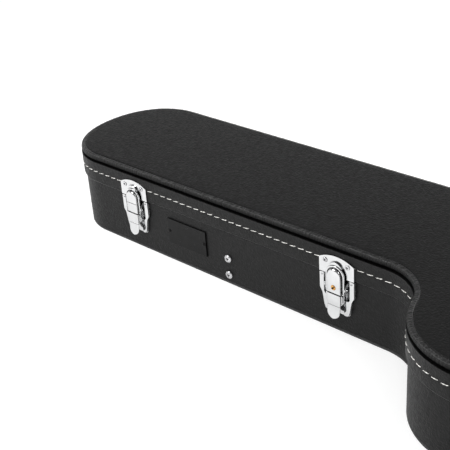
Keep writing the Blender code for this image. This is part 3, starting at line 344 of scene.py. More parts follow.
def make_looks():
    looks = {"black_vinyl": vinyl_look("vinyl")}
    # Shaded and lit copies of the edge vinyl, one for each strip: painted shade low on the edge,
    # painted highlight high on it.
    for number, (_, rough, specular) in enumerate(EDGE_SHADE_STRIPS, start=1):
        looks[f"edge_vinyl_{number}"] = edge_look(f"vinyl_edge_shade_{number}", (rough, rough + 0.12),
                                                  specular)
    # Paler vinyl for the bottom strip: painted light, for the light the strip catches from the
    # floor.
    looks["floor_lit_bottom_vinyl"] = vinyl_look("vinyl_bottom_floor_lit", 0.03, 0.12)
    looks["lip_vinyl"] = vinyl_look("vinyl_lip", 0.016, 0.026, (0.26, 0.36), 0.6)

    plush = Look("plush", grey(0.035), 0.95, specular=0.1, sheen=0.35)
    pile = plush.blend(plush.noise(700, 4), plush.noise(25, 2), 0.35)
    plush.colour(pile, grey(0.012), grey(0.05), 0.45, 0.9)
    plush.bump(plush.noise(1100, 4), 0.7, 0.6)
    looks["plush_lining"] = plush

    board = Look("covered_board", grey(0.05), 0.85, specular=0.2)
    weave = board.blend(board.ribs(420, "X"), board.ribs(420, "Y"), 1.0)
    board.colour(weave, grey(0.018), grey(0.06), 0.3, 1.7)
    board.bump(weave, 0.12, 0.6)

    chrome = Look("chrome", (0.72, 0.725, 0.73), 0.08, metallic=1.0)
    chrome.colour(chrome.noise(60, 3), (0.65, 0.655, 0.66), (0.73, 0.735, 0.74))
    # Painted shade and dark reflections in the chrome's seams and beside its walls.
    chrome.paint_crevice_shade(3.0, 0.02, 0.42, 0.86)
    chrome.rough(chrome.noise(240, 5), 0.05, 0.16)
    chrome.bump(chrome.noise(130, 2), 0.10, 0.10)

    steel = Look("plated_steel", grey(0.68), 0.3, metallic=1.0)
    steel.colour(steel.noise(90, 4), grey(0.55), grey(0.74))
    # Painted shade in the plated steel's seams.
    steel.paint_crevice_shade(3.0, 0.03, 0.50, 0.85)
    steel.rough(steel.noise(500, 4, stretch=(0.2, 1, 1)), 0.18, 0.36)
    steel.bump(steel.noise(900, 3, stretch=(0.1, 1, 1)), 0.04, 0.3)

    brass = Look("lock_brass", (0.75, 0.42, 0.14), 0.25, metallic=1.0)
    brass.colour(brass.noise(300, 3), (0.62, 0.30, 0.08), (0.82, 0.48, 0.18))
    # Painted shade in the brass plug's hollows, such as its key slot.
    brass.paint_crevice_shade(3.0, 0.02, 0.45, 0.85)
    brass.rough(brass.noise(800, 3), 0.18, 0.34)
    brass.bump(brass.noise(1200, 2), 0.03, 0.3)

    plate = Look("name_plate_plastic", grey(0.003), 0.32, specular=0.16)
    plate.colour(plate.noise(120, 3), grey(0.002), grey(0.004))
    plate.rough(plate.noise(400, 4), 0.26, 0.42)
    plate.bump(plate.noise(700, 2), 0.05, 0.3)

    handle = Look("handle_vinyl", grey(0.014), 0.45, specular=0.4)
    grain = handle.pebbles(900)
    handle.colour(grain, grey(0.008), grey(0.018), 0.1, 0.7)
    handle.rough(handle.noise(300, 3), 0.38, 0.55)
    handle.bump(grain, 0.15, 0.5)

    ribbon = Look("ribbon", grey(0.03), 0.7, specular=0.25, sheen=0.2)
    ribs = ribbon.ribs(600, "X")
    ribbon.colour(ribs, grey(0.012), grey(0.045), 0.2, 0.8)
    ribbon.bump(ribs, 0.15, 0.6)

    thread = Look("thread", (0.80, 0.79, 0.76), 0.75, specular=0.3, sheen=0.1)
    thread.colour(thread.noise(500, 3), (0.62, 0.61, 0.58), (0.86, 0.85, 0.82))
    thread.bump(thread.noise(4000, 2), 0.08, 0.5)

    for look in (board, chrome, steel, brass, plate, handle, ribbon, thread):
        looks[look.name] = look
    return {name: look.material for name, look in looks.items()}


LOOKS = make_looks()


# Plan
def arc_points(centre, radius, start, end, step, hollow=False):
    """Points on an arc with the normals that point out of the case."""
    count = max(2, round(math.radians(abs(end - start)) * radius / step))
    points = []
    for i in range(count + 1):
        turn = math.radians(start + (end - start) * i / count)
        ray = Vector((math.cos(turn), math.sin(turn)))
        points.append((Vector(centre) + ray * radius, -ray if hollow else ray))
    return points


def straight_points(start, end, normal, step):
    start, end = Vector(start), Vector(end)
    count = max(1, round((end - start).length / step))
    return [(start.lerp(end, i / count), Vector(normal)) for i in range(count + 1)]


def end_points(step):
    """The narrow end, a superellipse's quarter, from its tip to the neck's straight side."""
    power = 2 / END_POWER
    count = round(math.pi / 2 * NECK_HALF / step)
    points = []
    for i in range(count + 1):
        turn = math.pi / 2 * i / count
        along, across = max(0.0, math.cos(turn)), math.sin(turn)
        place = Vector((TIP_X + END_DEPTH * (1 - along ** power), NECK_HALF * across ** power))
        normal = Vector((-along ** (2 - power) / END_DEPTH, across ** (2 - power) / NECK_HALF))
        points.append((place, normal.normalized()))
    return points


def plan(step=0.003, straight_step=0.012):
    """Points and outward normals all round the tray's side, from the tip along the hinge side."""
    runs = [end_points(step),
            straight_points((TIP_X + END_DEPTH, NECK_HALF), (NECK_END, NECK_HALF), (0, 1),
                            straight_step),
            arc_points((NECK_END, NECK_HALF + FLARE_NECK_RADIUS), FLARE_NECK_RADIUS, -90,
                       FLARE_ANGLE - 90, step, hollow=True),
            arc_points((BODY_START, BODY_HALF - FLARE_BODY_RADIUS), FLARE_BODY_RADIUS,
                       90 + FLARE_ANGLE, 90, step),
            straight_points((BODY_START, BODY_HALF), (BODY_END, BODY_HALF), (0, 1), straight_step),
            arc_points((BODY_END, BODY_HALF - TAIL_RADIUS), TAIL_RADIUS, 90, 0, step),
            straight_points((TAIL_X, BODY_HALF - TAIL_RADIUS), (TAIL_X, 0), (1, 0), straight_step)]
    half = []
    for run in runs:
        half += [item for item in run if not half or (item[0] - half[-1][0]).length > 1e-5]
    half[0] = (half[0][0], Vector((-1, 0)))
    other = [(Vector((p.x, -p.y)), Vector((n.x, -n.y))) for p, n in half[-2:0:-1]]
    return half + other


PLAN = plan()


def rounded(corners, closed=True, steps=4):
    """A section from (inset, height, rounding) corners, each corner rounded by a short curve."""
    places = [Vector((inset, height)) for inset, height, _ in corners]
    section = []
    for i, ((_, _, size), place) in enumerate(zip(corners, places)):
        at_end = not closed and i in (0, len(corners) - 1)
        if size == 0 or at_end:
            section.append(place)
            continue
        before, after = places[i - 1], places[(i + 1) % len(places)]
        start = place + (before - place).normalized() * min(size, (before - place).length / 2)
        end = place + (after - place).normalized() * min(size, (after - place).length / 2)
        for k in range(steps + 1):
            t = k / steps
            section.append(start * (1 - t) ** 2 + place * 2 * t * (1 - t) + end * t ** 2)
    return section


def add_object(name, data):
    piece = bpy.data.objects.new(name, data)
    bpy.context.scene.collection.objects.link(piece)
    return piece


@contextmanager
def edited(mesh):
    """The mesh as a bmesh, written back afterwards."""
    work = bmesh.new()
    work.from_mesh(mesh)
    yield work
    work.to_mesh(mesh)
    work.free()


def mesh_object(name, vertices, faces, look, sharp=35.0):
    mesh = bpy.data.meshes.new(name)
    mesh.from_pydata(vertices, [], faces)
    piece = add_object(name, mesh)
    mesh.materials.append(LOOKS[look])
    shade(mesh, sharp)
    return piece


def shade(mesh, sharp=35.0):
    """Outward normals, smooth faces, and hard edges where faces turn by more than sharp degrees."""
    limit = math.radians(sharp)
    with edited(mesh) as work:
        bmesh.ops.recalc_face_normals(work, faces=work.faces)
        for face in work.faces:
            face.smooth = True
        for edge in work.edges:
            edge.smooth = len(edge.link_faces) == 2 and edge.calc_face_angle(0) < limit


def band(name, section, look, closed=True, path=None, wave=None, sharp=35.0, strips=()):
    """A section carried round the case's plan. An open section is capped where it starts and ends.
    strips are (look, test) pairs: faces whose corners all pass the test have that look."""
    path = path or PLAN
    rows, count = len(path), len(section)
    vertices = []
    for i, (place, normal) in enumerate(path):
        for j, point in enumerate(section):
            spot = place - normal * (point.x * MM)
            height = point.y + (wave(spot, point) if wave else 0.0)
            vertices.append((spot.x, spot.y, height * MM))
    faces = []
    for i in range(rows):
        following = (i + 1) % rows
        for j in range(count if closed else count - 1):
            k = (j + 1) % count
            faces.append((i * count + j, following * count + j,
                          following * count + k, i * count + k))
    if not closed:
        faces.append(tuple(i * count for i in range(rows)))
        faces.append(tuple(i * count + count - 1 for i in range(rows)))
    piece = mesh_object(name, vertices, faces, look, sharp)
    for number, (other, test) in enumerate(strips, start=1):
        piece.data.materials.append(LOOKS[other])
        for polygon in piece.data.polygons:
            corners = polygon.vertices
            if len(corners) == 4 and all(test(section[corner % count]) for corner in corners):
                polygon.material_index = number
    unroll(piece, path, section, rows, count)
    return piece


def unroll(piece, path, section, rows, count):
    """Lays a map in metres over a band: along the plan and round the section."""
    along = [0.0]
    for i in range(rows):
        along.append(along[-1] + (path[(i + 1) % rows][0] - path[i][0]).length)
    across = [0.0]
    for j in range(count):
        across.append(across[-1] + (section[(j + 1) % count] - section[j]).length * MM)
    layer = piece.data.uv_layers.new(name="run")
    for face in piece.data.polygons:
        spots = [piece.data.loops[k].vertex_index for k in face.loop_indices]
        stations = [spot // count for spot in spots]
        wraps = len(spots) == 4 and max(stations) - min(stations) > 1
        for k, spot in zip(face.loop_indices, spots):
            i, j = divmod(spot, count)
            layer.data[k].uv = (along[rows] if wraps and i == 0 else along[i], across[j])


def stand_for(piece, node):
    """The piece takes the node's place and rides with it."""
    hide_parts(node)
    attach(piece, BODY_OF[node])
    return piece


# Shell
def make_shell():
    bottom = rounded(BOTTOM_SECTION, closed=False)
    # The bottom strip has the paler vinyl, with the floor's light painted into it.
    stand_for(band("bottom_skin", bottom, "floor_lit_bottom_vinyl", closed=False), "bottom_panel")
    stand_for(band("tray_skin", rounded(TRAY_SECTION), "black_vinyl"), "tray_wall")

    lip = [("lip_vinyl", lambda point: point.y < LIP_HIGH)]
    side = band("lid_skin", rounded(LID_SECTION), "black_vinyl", sharp=50, strips=lip)
    stand_for(side, "lid_wall")

    top = [Vector(corner) for corner in TOP_UNDERSIDE] + bead_section()
    top += rounded(TOP_SECTION, closed=False)
    edge = [(f"edge_vinyl_{number}", edge_test(low))
            for number, (low, _, _) in enumerate(EDGE_SHADE_STRIPS, start=1)]
    pad = band("top_pad", top, "black_vinyl", closed=False, path=plan(0.0012, 0.0012), wave=pucker,
               strips=edge)
    stand_for(pad, "lid_top_pad")


def edge_test(low):
    """Whether a point of the padded top's section lies on its edge, above a height."""
    return lambda point: point.x <= CREASE + 0.01 and point.y > low


def bead_section(steps=14):
    """The rounded edge of the padded top, from its underside over its outside to its top."""
    turns = [math.radians(BEAD_START + BEAD_SWEEP * i / steps) for i in range(steps + 1)]
    return [Vector((BEAD_INSET - math.cos(turn) * BEAD_RADIUS,
                    BEAD_HEIGHT + math.sin(turn) * BEAD_RADIUS)) for turn in turns]


def pucker(spot, point):
    """Small folds across the padded top's edge."""
    edge = max(0.0, 1 - abs(point.x - 0.5) / 4.0) if point.y > 105 else 0.0
    place = Vector((spot.x, spot.y, 0.0))
    fold = noise.noise(place * 260) * 0.30 + noise.noise(place * 90) * 0.22
    return fold * edge


# Stitches
def lid_route():
    """The lid's face as a closed route: places, outward normals and lengths from the start."""
    path = [(p + n * (LID_PROUD * MM), n) for p, n in plan(0.002, 0.002)]
    path.append(path[0])
    lengths = [0.0]
    for (a, _), (b, _) in zip(path, path[1:]):
        lengths.append(lengths[-1] + (b - a).length)
    return path, lengths


def make_route_reader(path, lengths):
    """A function that gives the place and normal at a distance along the route."""
    def at(distance):
        low, high = 0, len(lengths) - 1
        while high - low > 1:
            middle = (low + high) // 2
            if lengths[middle] <= distance:
                low = middle
            else:
                high = middle
        share = (distance - lengths[low]) / (lengths[high] - lengths[low])
        return path[low][0].lerp(path[high][0], share), path[low][1].lerp(path[high][1], share)
    return at


def covered_spans():
    """Boxes of the lid's plates and leaves, which cover the row of stitches."""
    names = [f"latch_{n}_catch_plate" for n in LATCHES] + [f"hinge_{n}_lid_leaf" for n in HINGES]
    return [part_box(name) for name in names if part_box(name)[1][2] > STITCH_HEIGHT * MM]


def hides(low, high, place, margin):
    """Whether a place lies in a box's plan, at least a margin inside its sides."""
    return (low[0] + margin < place.x < high[0] - margin
            and low[1] + margin < place.y < high[1] - margin)


def make_stitches():
    path, lengths = lid_route()
    at = make_route_reader(path, lengths)
    total = lengths[-1]
    count = round(total / (STITCH_PITCH * MM))
    pitch = total / count
    spans = covered_spans()
    margin = STITCH_LENGTH / 5 * MM
    vertices, faces = [], []
    for k in range(count):
        start = pitch * k
        middle, _ = at(start + pitch / 2)
        if any(hides(low, high, middle, margin) for low, high in spans):
            continue
        for strand in (0, 1):
            add_strand(vertices, faces, at, start, strand, k)
    piece = mesh_object("lid_stitches", vertices, faces, "thread", sharp=80)
    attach(piece, "lid")


def add_strand(vertices, faces, at, start, strand, seed, rings=11, sides=6):
    """One of a stitch's two twisted strands. It thins towards its end and dives into the vinyl."""
    first = len(vertices)
    length = STITCH_LENGTH * MM
    for i in range(rings):
        t = i / (rings - 1)
        place, normal = at(start + length * t)
        outward = Vector((normal.x, normal.y, 0)).normalized()
        up = Vector((0, 0, 1))
        size = STITCH_RADIUS * (1.15 - 0.55 * t) * MM
        turn = strand * math.pi + t * math.pi * 2.2 + seed * 0.7
        ends = min(1.0, 6 * t, 6 * (1 - t))
        lift = size * 0.9 * ends - 0.55 * MM * (1 - ends) - 0.30 * MM
        slant = (0.5 - t) * STITCH_SLANT * MM
        centre = Vector((place.x, place.y, STITCH_HEIGHT * MM + slant)) + outward * lift
        centre += (outward * math.cos(turn) + up * math.sin(turn)) * size * 0.42
        for j in range(sides):
            a = 2 * math.pi * j / sides
            vertices.append(centre + (outward * math.cos(a) + up * math.sin(a)) * size * 0.62)
    for i in range(rings - 1):
        for j in range(sides):
            k = (j + 1) % sides
            low, high = first + i * sides, first + (i + 1) * sides
            faces.append((low + j, low + k, high + k, high + j))
    faces.append(tuple(first + j for j in range(sides)))
    faces.append(tuple(first + (rings - 1) * sides + j for j in range(sides)))


# Hardware
def clean_copy(node):
    """A copy of the node's mesh with its seams closed and its flat faces joined."""
    mesh = frame["nodes"][node].data.copy()
    mesh.materials.clear()
    with edited(mesh) as work:
        bmesh.ops.remove_doubles(work, verts=work.verts, dist=2e-6)
        bmesh.ops.dissolve_limit(work, angle_limit=math.radians(0.8), verts=work.verts,
                                 edges=work.edges)
    return mesh


def dressed(node, bevel=0.22, sharp=32.0):
    """A copy of the node's mesh with its faces joined, its edges rounded and its curves smooth."""
    mesh = clean_copy(node)
    shade(mesh, sharp)
    mesh.materials.append(LOOKS[SLOT_OF[node]])
    piece = add_object(f"{node}_finished", mesh)
    round_edges(piece, bevel, sharp)
    stand_for(piece, node)
    return piece


def round_edges(piece, bevel, sharp):
    edges = piece.modifiers.new("edges", "BEVEL")
    edges.width = bevel * MM
    edges.segments = 2
    edges.limit_method = "ANGLE"
    edges.angle_limit = math.radians(sharp)
    edges.harden_normals = True


def tunnel_route(half, spring, low, steps=28):
    """An arched outline from its right foot over its arch to its left foot, with normals."""
    route = [(Vector((half, low + (spring - low) * i / 6)), Vector((1, 0))) for i in range(6)]
    for i in range(steps + 1):
        turn = math.pi * i / steps
        ray = Vector((math.cos(turn), math.sin(turn)))
        route.append((Vector((0, spring)) + ray * half, ray))
    route += [(Vector((-half, spring + (low - spring) * i / 6)), Vector((-1, 0)))
              for i in range(1, 7)]
    return route


def prism(outline, back, front):
    """A flat piece from back to front, over an outline of (across, up) points in mm."""
    return loops_to_mesh([[Vector((p.x, -out, p.y)) for p in outline] for out in (back, front)])


def loops_to_mesh(rings):
    """Vertices and faces between closed rows of points of the same count, capped at both ends."""
    count = len(rings[0])
    vertices = [point for ring in rings for point in ring]
    faces = []
    for i in range(len(rings) - 1):
        for j in range(count):
            k = (j + 1) % count
            faces.append((i * count + j, i * count + k, (i + 1) * count + k, (i + 1) * count + j))
    faces.append(tuple(range(count)))
    faces.append(tuple((len(rings) - 1) * count + j for j in range(count)))
    return vertices, faces


def hasp_rim():
    """The hasp's wall and the low flange round its raised panel."""
    section = rounded(HASP_FLANGE)
    rows = []
    for place, normal in tunnel_route(HASP_HALF, SPRING_UP, HASP_FOOT):
        spots = [(place - normal * p.x, p.y) for p in section]
        rows.append([Vector((spot.x, -out, spot.y)) for spot, out in spots])
    return loops_to_mesh(rows)


def hasp_panel():
    """The hasp's raised front panel, with steep sides and a longer slope over its arch."""
    rows = []
    for half, spring, out in HASP_RINGS:
        low = PANEL_LOW + (PANEL_HALF - half) * 0.4
        rows.append([Vector((p.x, -out, p.y)) for p, _ in tunnel_route(half, spring, low)])
    return loops_to_mesh(rows)


def make_hasp(number, matrix):
    node = f"latch_{number}_hasp"
    panel = solid_from(f"{node}_panel", hasp_panel(), matrix)
    if number == LOCKING_LATCH:
        cut_round_hole(panel, matrix @ Vector((0, -8.5 * MM, LOCK_UP * MM)), matrix, LOCK_HOLE)
    else:
        cut_box(panel, matrix @ Matrix.Translation((0, -9.4 * MM, -5.2 * MM)), PRESSED_LINE)
    rim = solid_from(f"{node}_finished", hasp_rim(), matrix)
    join_into(rim, [panel])
    stand_for(rim, node)


def solid_from(name, shape, matrix):
    """A chrome piece from vertices in mm and faces, placed by matrix."""
    vertices, faces = shape
    placed = [matrix @ (vertex * MM) for vertex in vertices]
    return mesh_object(name, placed, faces, "chrome", sharp=50)


def cut_round_hole(piece, centre, matrix, radius):
    """Drills the piece straight in from the front."""
    work = bmesh.new()
    bmesh.ops.create_cone(work, cap_ends=True, segments=40, radius1=radius * MM,
                          radius2=radius * MM, depth=0.02)
    turn = matrix.to_3x3().to_4x4() @ Matrix.Rotation(math.pi / 2, 4, "X")
    bmesh.ops.transform(work, matrix=Matrix.Translation(centre) @ turn, verts=work.verts)
    cut_by(piece, work)


def cut_box(piece, place, size):
    """Cuts a box of a size in mm out of the piece."""
    work = bmesh.new()
    bmesh.ops.create_cube(work, size=1.0)
    stretch = Matrix.Diagonal((*(side * MM for side in size), 1))
    bmesh.ops.transform(work, matrix=place @ stretch, verts=work.verts)
    cut_by(piece, work)


def cut_by(piece, work):
    """Cuts the shape in work out of the piece, and frees it."""
    mesh = bpy.data.meshes.new("drill")
    work.to_mesh(mesh)
    work.free()
    drill = add_object("drill", mesh)
    cut = piece.modifiers.new("hole", "BOOLEAN")
    cut.operation = "DIFFERENCE"
    cut.solver = "EXACT"
    cut.object = drill
    settle(piece, 50)
    bpy.data.objects.remove(drill)


def lever_section(height):
    """The lever at a height: half its panel's width, half its width with its flanges, the flanges'
    share, its front and its foot."""
    share = min(1.0, max(0.0, (FLANGE_END - height) / FLANGE_FADE))
    flanges = 1 - share * share * (3 - 2 * share)
    panel = THUMB_HALF + 0.3 * flanges
    if height < THUMB_CENTRE:
        panel = math.sqrt(max(0.02, THUMB_HALF ** 2 - (height - THUMB_CENTRE) ** 2))
    lift = min(1.0, max(0.0, (THUMB_BEND - height) / THUMB_LENGTH))
    slit = CREASE_DEPTH if abs(height - LEVER_CREASE) < CREASE_HALF else 0
    front = PANEL_OUT + THUMB_LIFT * lift ** 1.4 - slit
    foot = 5.5 + (front - 6.7) * (1 - flanges)
    return panel, panel + FLANGE_WIDTH * flanges, flanges, front, foot


def lever_front():
    """The lever's raised panel with a low flange at each side, down to the thumb's round end."""
    heights = [LEVER_TOP, LEVER_TOP - 0.3] + [-20.4 - k * 0.6 for k in range(34)]
    heights += [THUMB_CENTRE - THUMB_HALF * math.sin(math.pi / 2 * k / 12) for k in range(1, 13)]
    heights += [LEVER_CREASE + step for step in CREASE_ROWS]
    rows = []
    for height in sorted(heights, reverse=True):
        panel, wide, flanges, front, foot = lever_section(height)
        ledge = foot + 0.05 + 1.5 * flanges
        roll = min(0.9 - 0.3 * flanges, panel * 0.6)
        side = [(wide, foot), (wide, ledge - 0.03 - 0.2 * flanges), (wide - 0.2 * flanges, ledge),
                (panel + 0.13 * flanges - 0.01, ledge)]
        for k in range(7):
            turn = math.pi / 2 * k / 6
            side.append((panel - roll + roll * math.cos(turn),
                         front - roll + roll * math.sin(turn)))
        middle = [((panel - roll) * k / 4, front) for k in range(3, -4, -1)]
        wall = min(LEVER_WALL, wide * 0.4)
        back = front - LEVER_WALL
        row = side + middle + [(-across, out) for across, out in reversed(side)]
        row += [(wall - wide, foot), (wall + 0.1 - wide, back), (wide - wall - 0.1, back),
                (wide - wall, foot)]
        rows.append([Vector((across, -out, height)) for across, out in row])
    return loops_to_mesh(rows)


def lever_arms(node, matrix):
    """The part of the CAD lever behind its panel: two arms on the pivot and the rims' feet."""
    arms = bpy.data.objects.new("arms", clean_copy(node))
    with edited(arms.data) as work:
        bmesh.ops.bisect_plane(work, geom=work.verts[:] + work.edges[:] + work.faces[:],
                               plane_co=matrix @ Vector((0, -ARMS_OUT * MM, 0)),
                               plane_no=matrix.to_3x3() @ Vector((0, -1, 0)), clear_outer=True)
        bmesh.ops.holes_fill(work, edges=[edge for edge in work.edges if edge.is_boundary])
    return arms


def make_lever(number, matrix):
    node = f"latch_{number}_lever"
    front = solid_from(f"{node}_finished", lever_front(), matrix)
    turns = [math.pi * k / 8 for k in range(16)]
    pin = loops_to_mesh([[Vector((across, -LINK_OUT - LINK_RADIUS * math.cos(turn),
                                  LINK_UP + LINK_RADIUS * math.sin(turn))) for turn in turns]
                         for across in (-LINK_HALF, LINK_HALF)])
    join_into(front, [lever_arms(node, matrix), solid_from("link", pin, matrix)])
    shade(front.data, 40)
    stand_for(front, node)


def join_into(piece, others):
    """Adds the other pieces' meshes to the piece's, and removes them."""
    with edited(piece.data) as work:
        for other in others:
            work.from_mesh(other.data)
            bpy.data.objects.remove(other)


def place_matrix(x, y, z, turn):
    """A plate's place: x across, z up and -y out once it is turned about z."""
    return Matrix.Translation((x, y, z)) @ Matrix.Rotation(turn, 4, "Z")


def screw_head(name, matrix, place, size, turn, body="base", slot="plated_steel"):
    """A domed cross head at a place (across, up) on the plate that matrix stands for. size is its
    distance out, its radius and its height."""
    (across, up), (out, radius, height) = place, size
    rings, spokes = 16, 56
    cosine, sine = math.cos(turn), math.sin(turn)
    vertices = []
    for i in range(rings + 1):
        share = i / rings
        dome = height * math.sqrt(max(0.0, 1 - share ** 4 * 0.92))
        for j in range(spokes):
            angle = 2 * math.pi * j / spokes + turn
            u, w = share * math.cos(angle), share * math.sin(angle)
            rise = dome - max(slot_depth(u, w), slot_depth(w, u)) * height * 0.75
            x, z = u * cosine - w * sine, u * sine + w * cosine
            vertices.append((across + x * radius, -out - rise, up + z * radius))
    for j in range(spokes):
        x, _, z = vertices[rings * spokes + j]
        vertices.append((x, -out + 0.3, z))
    faces = []
    for i in range(rings + 1):
        near, far = i * spokes, (i + 1) * spokes
        for j in range(spokes):
            k = (j + 1) % spokes
            faces.append((near + j, near + k, far + k, far + j))
    faces.append(tuple((rings + 1) * spokes + j for j in range(spokes)))
    placed = [matrix @ (Vector(v) * MM) for v in vertices]
    piece = mesh_object(name, placed, faces, slot, sharp=40)
    with edited(piece.data) as work:
        bmesh.ops.remove_doubles(work, verts=work.verts, dist=1e-6)
    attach(piece, body)


def slot_depth(along, across):
    """The share of its depth that one arm of the cross has at a place on the head."""
    side = min(1.0, max(0.0, (CROSS_HALF - abs(across)) / 0.05))
    end = min(1.0, max(0.0, (CROSS_REACH - abs(along)) / 0.12))
    return side * end


def add_wings(plate, matrix):
    """Raises the base plate's sides beside the lever to the height of the catch plate."""
    right = rounded(WING, steps=5)
    left = [Vector((-p.x, p.y)) for p in right]
    wings = [solid_from("wing", prism(side, 0.7, WING_OUT), matrix) for side in (right, left)]
    join_into(plate, wings)


def circle_part(height, radius, start, end, steps=24):
    """Points on a circle whose centre stands at a height on the latch's middle line."""
    turns = [math.radians(start + (end - start) * k / steps) for k in range(steps + 1)]
    return [Vector((radius * math.cos(turn), height + radius * math.sin(turn))) for turn in turns]


def make_catch_plate(number, matrix):
    """The lid's plate: a wing with an arched top, the boss inside the hasp and a guard over it."""
    node = f"latch_{number}_catch_plate"
    across, up = CATCH_FOOT
    wing = [Vector((across, up))] + circle_part(*CATCH_ARC) + [Vector((-across, up))]
    boss = [place for place, _ in tunnel_route(BOSS_HALF, SPRING_UP, BOSS_FOOT)]
    guard = circle_part(*GUARD_ARCS[0]) + circle_part(*GUARD_ARCS[1])
    piece = solid_from(f"{node}_finished", prism(wing, 2.55, 3.85), matrix)
    join_into(piece, [solid_from("boss", prism(boss, 3.2, 6.3), matrix),
                      solid_from("guard", prism(guard, 3.2, 6.0), matrix)])
    round_edges(piece, 0.35, 32)
    stand_for(piece, node)


def make_lock_plug(matrix):
    """The brass plug, with a key slot that lies at a slant."""
    turns = [math.pi * k / 20 for k in range(40)]
    shape = loops_to_mesh([[Vector((radius * math.cos(turn), -out,
                                    radius * math.sin(turn) + LOCK_UP)) for turn in turns]
                           for radius, out in LOCK_RINGS])
    plug = solid_from("lock_plug_finished", shape, matrix)
    plug.data.materials[0] = LOOKS["lock_brass"]
    place = matrix @ Matrix.Translation((0, -10.1 * MM, LOCK_UP * MM))
    cut_box(plug, place @ Matrix.Rotation(math.radians(-45), 4, "Y"), KEY_SLOT)
    stand_for(plug, "lock_plug")


def make_latches():
    for number, (x, y, turn) in LATCHES.items():
        matrix = place_matrix(x, y, RIM * MM, turn)
        make_catch_plate(number, matrix)
        add_wings(dressed(f"latch_{number}_base_plate", 0.3), matrix)
        dressed(f"latch_{number}_pivot_pin", 0.12)
        make_hasp(number, matrix)
        make_lever(number, matrix)
        for k, place in enumerate(CATCH_SCREWS):
            screw_head(f"latch_{number}_catch_screw_{k + 1}", matrix, place, CATCH_SCREW,
                       0.3 + k + number, body="lid")
        for k, place in enumerate(BASE_SCREWS):
            screw_head(f"latch_{number}_base_screw_{k + 1}", matrix, place, BASE_SCREW, 0.5 + k)
        if number == LOCKING_LATCH:
            make_lock_plug(matrix)


def make_hinges():
    for number in HINGES:
        for part in ("tray_leaf", "lid_leaf", "pin"):
            dressed(f"hinge_{number}_{part}", 0.2)
        low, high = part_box(f"hinge_{number}_pin")
        matrix = place_matrix((low[0] + high[0]) / 2, BODY_HALF, 0, math.pi)
        for k, across in enumerate(LEAF_SCREWS):
            screw_head(f"hinge_{number}_lid_screw_{k + 1}", matrix, (across, LID_SCREWS_UP),
                       LID_SCREW, 0.5 + k + number, body="lid")
            screw_head(f"hinge_{number}_tray_screw_{k + 1}", matrix, (across, TRAY_SCREWS_UP),
                       TRAY_SCREW, 0.9 + k * 2 + number)


def make_screws_and_plate():
    dressed("name_plate", 0.45)
    front = place_matrix(PLATE_X, -NECK_HALF, 0, 0)
    for k, place in enumerate(PLATE_SCREWS):
        screw_head(f"name_plate_screw_{k + 1}", front, place, PLATE_SCREW, 0.4 + k,
                   slot="name_plate_plastic")
    for side, y, turn in (("front", -NECK_HALF, 0.0), ("back", NECK_HALF, math.pi)):
        matrix = place_matrix(CRADLE_X, y, 0, turn)
        for level in CRADLE_SCREWS_UP:
            dressed(f"cradle_screw_{side}_{level}", 0.15)
        for level, up in CRADLE_SCREWS_UP.items():
            screw_head(f"cradle_screw_{side}_{level}_head", matrix, (0, up), CRADLE_SCREW, 0.2 + up)


def make_handle():
    for side, x in BRACKETS_X.items():
        dressed(f"handle_bracket_{side}", 0.3)
        dressed(f"handle_pin_{side}", 0.15)
        matrix = place_matrix(x, -BODY_HALF, 0, 0)
        for level, up in HANDLE_SCREWS_UP.items():
            screw_head(f"handle_screw_{side}_{level}", matrix, (0, up), HANDLE_SCREW, up)
    grip = dressed("handle_grip", 0.5, 40)
    grip.modifiers.clear()
    smooth_remesh(grip, 1.6, 6)


# Soft pieces
def smooth_remesh(piece, voxel, passes):
    """Rebuilds the piece's mesh in even cells of voxel mm and rounds it."""
    mesher = piece.modifiers.new("even", "REMESH")
    mesher.mode = "VOXEL"
    mesher.voxel_size = voxel * MM
    rounding = piece.modifiers.new("rounding", "SMOOTH")
    rounding.factor = 0.5
    rounding.iterations = passes
    settle(piece)


def settle(piece, sharp=80):
    """Applies the piece's modifiers and keeps its materials."""
    graph = bpy.context.evaluated_depsgraph_get()
    looks = list(piece.data.materials)
    mesh = bpy.data.meshes.new_from_object(piece.evaluated_get(graph))
    piece.modifiers.clear()
    piece.data = mesh
    mesh.materials.clear()
    for look in looks:
        mesh.materials.append(look)
    shade(mesh, sharp)


def soft_copy(node, voxel=4.0, passes=4, cap=2.5):
    """A foam piece under plush: the node's form, remeshed, blown up a little and smoothed."""
    piece = dressed(node)
    piece.modifiers.clear()
    smooth_remesh(piece, voxel, passes)
    blow_up(piece, cap)
    subdivision = piece.modifiers.new("finer", "SUBSURF")
    subdivision.levels = 1
    subdivision.render_levels = 1
    return piece


def blow_up(piece, cap, frames=16):
    """Presses the cover outwards as cloth, and lets no point move by more than cap mm."""
    before = [vertex.co.copy() for vertex in piece.data.vertices]
    low, high = edges_of(before)
    cloth = piece.modifiers.new("cover", "CLOTH")
    cloth.settings.use_pressure = True
    cloth.settings.uniform_pressure_force = 4.0
    cloth.settings.effector_weights.gravity = 0.0
    scene = bpy.context.scene
    for number in range(1, frames + 1):
        scene.frame_set(number)
    graph = bpy.context.evaluated_depsgraph_get()
    after = [vertex.co.copy() for vertex in piece.evaluated_get(graph).data.vertices]
    piece.modifiers.clear()
    scene.frame_set(1)
    for vertex, start, end in zip(piece.data.vertices, before, after):
        move = end - start
        if move.length > cap * MM:
            move *= cap * MM / move.length
        place = start + move
        vertex.co = [min(max(p, a), b) for p, a, b in zip(place, low, high)]


def edges_of(points):
    """The lowest and highest x, y and z of points."""
    spans = list(zip(*points))
    return [min(span) for span in spans], [max(span) for span in spans]


